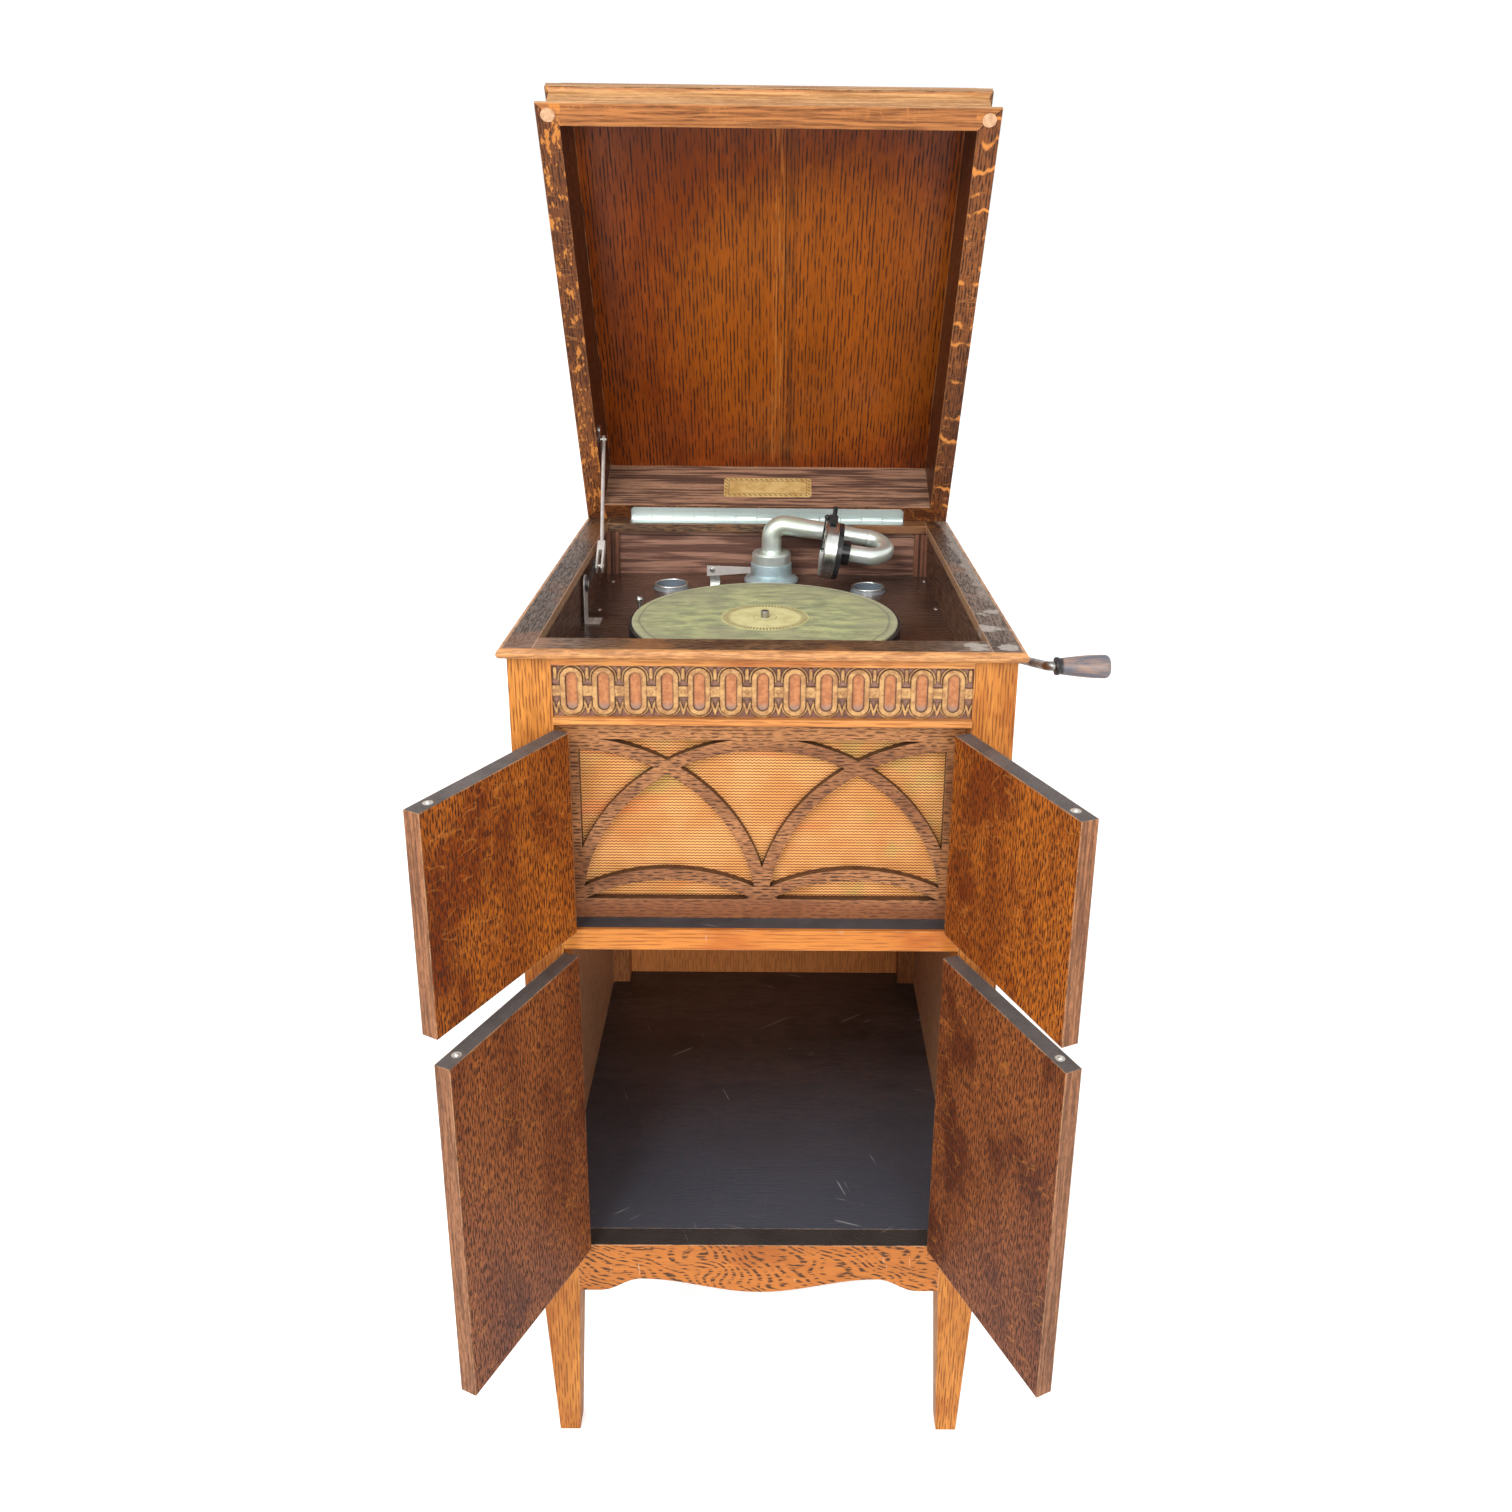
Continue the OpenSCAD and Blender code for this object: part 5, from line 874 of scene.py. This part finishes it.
nickel = metal("nickel_plate", (0.92, 0.93, 0.9), (0.6, 0.62, 0.58), rough=0.22)
old_nickel = metal("greenish_nickel", (0.92, 1.0, 0.95), (0.72, 0.8, 0.66), rough=0.3,
                   grain=(30, 30, 30), metallic=0.75)
zinc = metal("zinc_plate", (0.72, 0.9, 0.94), (0.5, 0.66, 0.7), rough=0.4, metallic=0.65)
hinge_plate = metal("hinge_plate", (0.8, 0.85, 0.83), (0.55, 0.62, 0.6), rough=0.32, spread=0.08,
                    grain=(3, 60, 60), metallic=0.85, extra=knuckles)
pale_steel = metal("pale_steel", (0.72, 0.67, 0.62), (0.55, 0.51, 0.47), rough=0.4, spread=0.1,
                   metallic=0.5)
steel = metal("plain_steel", (0.5, 0.49, 0.47), (0.28, 0.27, 0.25), rough=0.32)
dark_steel = metal("dark_steel", (0.16, 0.16, 0.17), (0.07, 0.07, 0.08), rough=0.35)
iron = metal("cast_iron", (0.1, 0.105, 0.11), (0.05, 0.05, 0.055), rough=0.55, spread=0.2,
             grain=(120, 120, 120))
OLD_BRASS = {"colour": (0.4, 0.3, 0.15), "dull": (0.2, 0.14, 0.07), "rough": 0.35}
old_brass = metal("dull_brass", **OLD_BRASS)
brass = metal("clean_brass", (0.68, 0.5, 0.2), (0.5, 0.34, 0.12))
gilt = metal("gilt", (0.9, 0.66, 0.27), (0.66, 0.42, 0.14), rough=0.4, metallic=0.35,
             extra=plaque_border, turn=LID_TURN, pivot=LID_HINGE)
black = metal("black_enamel", (0.018, 0.018, 0.02), (0.03, 0.028, 0.03), rough=0.16, spread=0.12,
              metallic=0.0)
# Painted sheen: the bluish black with brown streaks along the grip stands in for its blue and brown
# reflections
black_wood = metal("black_wood", (0.12, 0.125, 0.155), (0.36, 0.23, 0.17), rough=0.2, spread=0.2,
                   grain=(20, 150, 150), metallic=0.0, extra=grip_collar)
pale_wood = metal("pale_wood", (0.7, 0.42, 0.24), (0.5, 0.27, 0.14), rough=0.6, spread=0.1,
                  grain=(200, 200, 200), metallic=0.0)
PINE = {"light": (0.6, 0.36, 0.16), "deep": (0.48, 0.27, 0.11), "pore": (0.3, 0.16, 0.06)}
pine = oak("pine", "y", **PINE, Pitch=0.012, Pores=0.25, rough=0.6)

# The paper label: a ring of ticks, and plain rings given by their radius and half their width
TICKS, TICK_RING = 78, (0.0415, 0.0475)
PRINTED_RINGS = ((0.0408, 0.0004), (0.0395, 0.0002), (0.0128, 0.0004))
low, high = (Vector(c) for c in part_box("turntable_label"))
label, t, shader = finish("printed_label")
at = t.offset(resting(t), (low + high) / 2)
x, y, _ = t.split(at)
away = t.vector("LENGTH", t.join(x, y, 0.0))
tick = t.smooth(t.math("SINE", t.times(t.math("ARCTAN2", y, x), TICKS)), -0.1, 0.25)
ticks = t.times(tick, t.band(away, *TICK_RING), 0.95)
aged = t.smooth(t.noise(at, scale=60, detail=4), 0.35, 0.7)
card = t.mix(aged, (0.76, 0.72, 0.36), (0.62, 0.56, 0.26))
card = t.mix(ticks, card, (0.14, 0.11, 0.045))
for reach, width in PRINTED_RINGS:
    ring = t.times(t.band(away, reach - width, reach + width, 0.0002), 0.7)
    card = t.mix(ring, card, (0.26, 0.2, 0.08))
shade(t, shader, Base_Color=card, Roughness=0.5)

# New pieces replace the felt and the grille cloth, so any pale finish does for these two
BY_SLOT = {
    "nickel": nickel, "old_nickel": old_nickel, "zinc": zinc, "steel": steel,
    "dark_steel": dark_steel, "cast_iron": iron, "aged_brass": old_brass, "gear_brass": brass,
    "gilt": gilt, "black_enamel": black, "black_wood": black_wood, "pale_wood": pale_wood,
    "pine": pine, "paper_label": label, "felt": pale_wood, "grille_cloth": pale_wood,
}
for part in frame["record"]["subparts"]:
    if part["material_slot"] in BY_SLOT:
        clad(BY_SLOT[part["material_slot"]], part["node"])
for side, top in CATCH_TOP.items():
    clad(metal("brass_" + side, **OLD_BRASS, extra=catch_ball(top)), "fittings_" + side)
clad(hinge_plate, "piano_leaf_case", "piano_leaf_lid")
clad(pale_steel, "trip_strip", "stay_rod", "stay_bracket")

# The needle cups: bright rims and outer walls, and dull blue-grey inside
low, high = (Vector(c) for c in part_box("needle_cups"))
middle, radius = (low + high) / 2, (high.y - low.y) / 2
cup, t, shader = finish("needle_cup_plate")
at = resting(t)
x, y, _ = t.split(t.offset(at, middle))
nx, ny, _ = t.split(resting_normal(t))
beside = t.minus(t.absolute(x), (high.x - low.x) / 2 - radius)
beside = t.times(beside, t.math("SIGN", x))
away = t.vector("DOT_PRODUCT", t.join(beside, y, 0.0), t.join(nx, ny, 0.0))
outer = t.smooth(away, 0.0, radius / 2, 0, 0.75)
lip = t.smooth(t.split(at)[2], high.z - 0.0022, high.z - 0.0008)
bright = t.larger(lip, outer)
shade(t, shader, Base_Color=t.mix(bright, (0.16, 0.2, 0.23), (0.85, 0.88, 0.88)))
shade(t, shader, Metallic=bright, Roughness=t.math("MULTIPLY_ADD", bright, -0.2, 0.5))
clad(cup, "needle_cups")

# ---- new pieces


def piece(name, shape, material, body, *replaced, slot=None):
    """A finished mesh object on a body."""
    mesh = bpy.data.meshes.new(name)
    shape.to_mesh(mesh)
    shape.free()
    mesh.materials.append(material)
    made = bpy.data.objects.new(name, mesh)
    bpy.context.scene.collection.objects.link(made)
    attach(made, body)
    if replaced:
        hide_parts(*replaced)
    return made


def turned(shape, profile, centre, steps=96):
    """Spins a closed profile of (radius, height) pairs about an upright axis."""
    corners = [shape.verts.new((centre[0] + r, centre[1], h)) for r, h in profile]
    edges = [shape.edges.new((a, b)) for a, b in zip(corners, corners[1:] + corners[:1])]
    bmesh.ops.spin(shape, geom=corners + edges, cent=centre, axis=(0, 0, 1), angle=tau,
                   steps=steps, use_merge=True)
    bmesh.ops.remove_doubles(shape, verts=shape.verts, dist=1e-6)
    bmesh.ops.recalc_face_normals(shape, faces=shape.faces)


# The grille cloth, stretched flat behind the fret, in rows of a zigzag weave: the height of a
# row, the width of a zigzag and how far it swings
ROW, ZIGZAG, SWING = 0.0031, 0.0041, 0.34
low, high = (Vector(c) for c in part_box("grille_cloth"))
weave, t, shader = finish("woven_cloth")
at = resting(t)
x, _, z = t.split(at)
swing = t.math("PINGPONG", t.over(x, ZIGZAG), 0.5)
level = t.math("MULTIPLY_ADD", swing, 2 * SWING, t.over(z, ROW))
thread = t.math("MULTIPLY_ADD", t.math("SINE", t.times(level, tau)), 0.5, 0.5)
strand = t.math("MULTIPLY_ADD", t.math("SINE", t.times(x, tau / (ZIGZAG / 4))), 0.14, thread)
tone = t.smooth(t.noise(at, scale=26, detail=3), 0.35, 0.65)
gold = t.mix(tone, (0.86, 0.42, 0.145), (0.72, 0.32, 0.095))
rows = t.smooth(t.noise(at, (5, 1, 60), detail=3), 0.5, 0.64)
red = t.times(rows, t.smooth(t.noise(at, scale=9, detail=1), 0.48, 0.6), 0.4)
gold = t.mix(red, gold, (0.85, 0.17, 0.06))
green = t.noise(t.vector("ADD", at, (3, 3, 3)), scale=13, detail=4, rough=0.65)
gold = t.mix(t.times(t.smooth(green, 0.53, 0.66), 0.4), gold, (0.4, 0.42, 0.12))
cord = t.mix(t.smooth(strand, 0.12, 0.5), (0.2, 0.06, 0.02), gold)
shade(t, shader, Base_Color=cord, Roughness=0.8, Normal=bumped(t, strand, depth=0.0006))
shader.inputs["Specular IOR Level"].default_value = 0.2
cloth = bmesh.new()
bmesh.ops.create_grid(cloth, x_segments=48, y_segments=28, size=0.5)
size = high - low
bmesh.ops.scale(cloth, vec=(size.x, size.z, 1), verts=cloth.verts)
bmesh.ops.rotate(cloth, matrix=Matrix.Rotation(pi / 2, 3, "X"), verts=cloth.verts)
bmesh.ops.translate(cloth, vec=(low + high) / 2, verts=cloth.verts)
grille_cloth = piece("stretched_cloth", cloth, weave, "case", "grille_cloth", slot="grille_cloth")

# The felt, with a soft rounded edge, faint rings and a hole for the spindle
RINGS, RING_DIP, HOLE_RADIUS = 12, 0.00006, 0.0042
low, high = (Vector(c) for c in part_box("turntable_felt"))
centre = (low + high) / 2
reach = (high.x - low.x) / 2
felt, t, shader = finish("olive_felt")
at = resting(t)
blend = t.smooth(t.noise(at, (26, 70, 26), detail=5, rough=0.7), 0.36, 0.64)
wool = t.mix(blend, (0.5, 0.51, 0.2), (0.19, 0.215, 0.085))
brown = t.smooth(t.noise(at, scale=11, detail=4), 0.48, 0.66, 0, 0.6)
wool = t.mix(brown, wool, (0.27, 0.24, 0.14))
fluff = t.noise(at, scale=900)
wool = t.mix(t.smooth(fluff, 0.3, 0.7, 0, 0.25), wool, (0.2, 0.2, 0.08))
away = t.vector("LENGTH", t.stretch(t.offset(at, centre), (1, 1, 0)))
wool = t.mix(t.smooth(away, reach * 0.55, reach * 0.95, 0, 0.4), wool, (0.28, 0.265, 0.135))
ragged = t.math("MULTIPLY_ADD", t.noise(at, scale=30, detail=3), 0.006, away)
rim_line = t.band(ragged, reach - 0.0065, reach - 0.0045, 0.0012)
wool = t.mix(t.times(rim_line, 0.7), wool, (0.1, 0.1, 0.05))
wool = t.mix(t.smooth(ragged, reach - 0.004, reach + 0.003, 0, 0.45), wool, (0.45, 0.43, 0.27))
shade(t, shader, Base_Color=wool, Roughness=0.95, Normal=bumped(t, fluff, depth=0.0003))
shader.inputs["Sheen Weight"].default_value = 0.2
base, top = low.z, high.z
edge = [(reach - 0.0004, base), (reach, base + 0.001), (reach, top - 0.0012),
        (reach - 0.0004, top - 0.0004), (reach - 0.0014, top)]
rings = [(reach * i / RINGS, top if i % 2 else top - RING_DIP) for i in range(RINGS - 1, 0, -1)]
hole = [(HOLE_RADIUS, top), (HOLE_RADIUS, base)]
disc = bmesh.new()
turned(disc, edge + rings + hole, (centre.x, centre.y, 0))
piece("felt_disc", disc, felt, frame_body("turntable_felt"), "turntable_felt", slot="felt")

# ---- floor

FLOOR_REACH = 60
floor_mesh = bpy.data.meshes.new("floor")
shape = bmesh.new()
bmesh.ops.create_grid(shape, x_segments=1, y_segments=1, size=FLOOR_REACH)
shape.to_mesh(floor_mesh)
shape.free()
floor = bpy.data.objects.new("floor", floor_mesh)
bpy.context.scene.collection.objects.link(floor)
pale, t, shader = finish("pale_floor")
shade(t, shader, Base_Color=(0.9, 0.9, 0.9), Roughness=0.8, Emission_Color=(1, 1, 1))
seen = t.add("LightPath").outputs["Is Camera Ray"]
shade(t, shader, Emission_Strength=t.times(seen, 0.5))
shader.inputs["Specular IOR Level"].default_value = 0.0
floor_mesh.materials.append(pale)
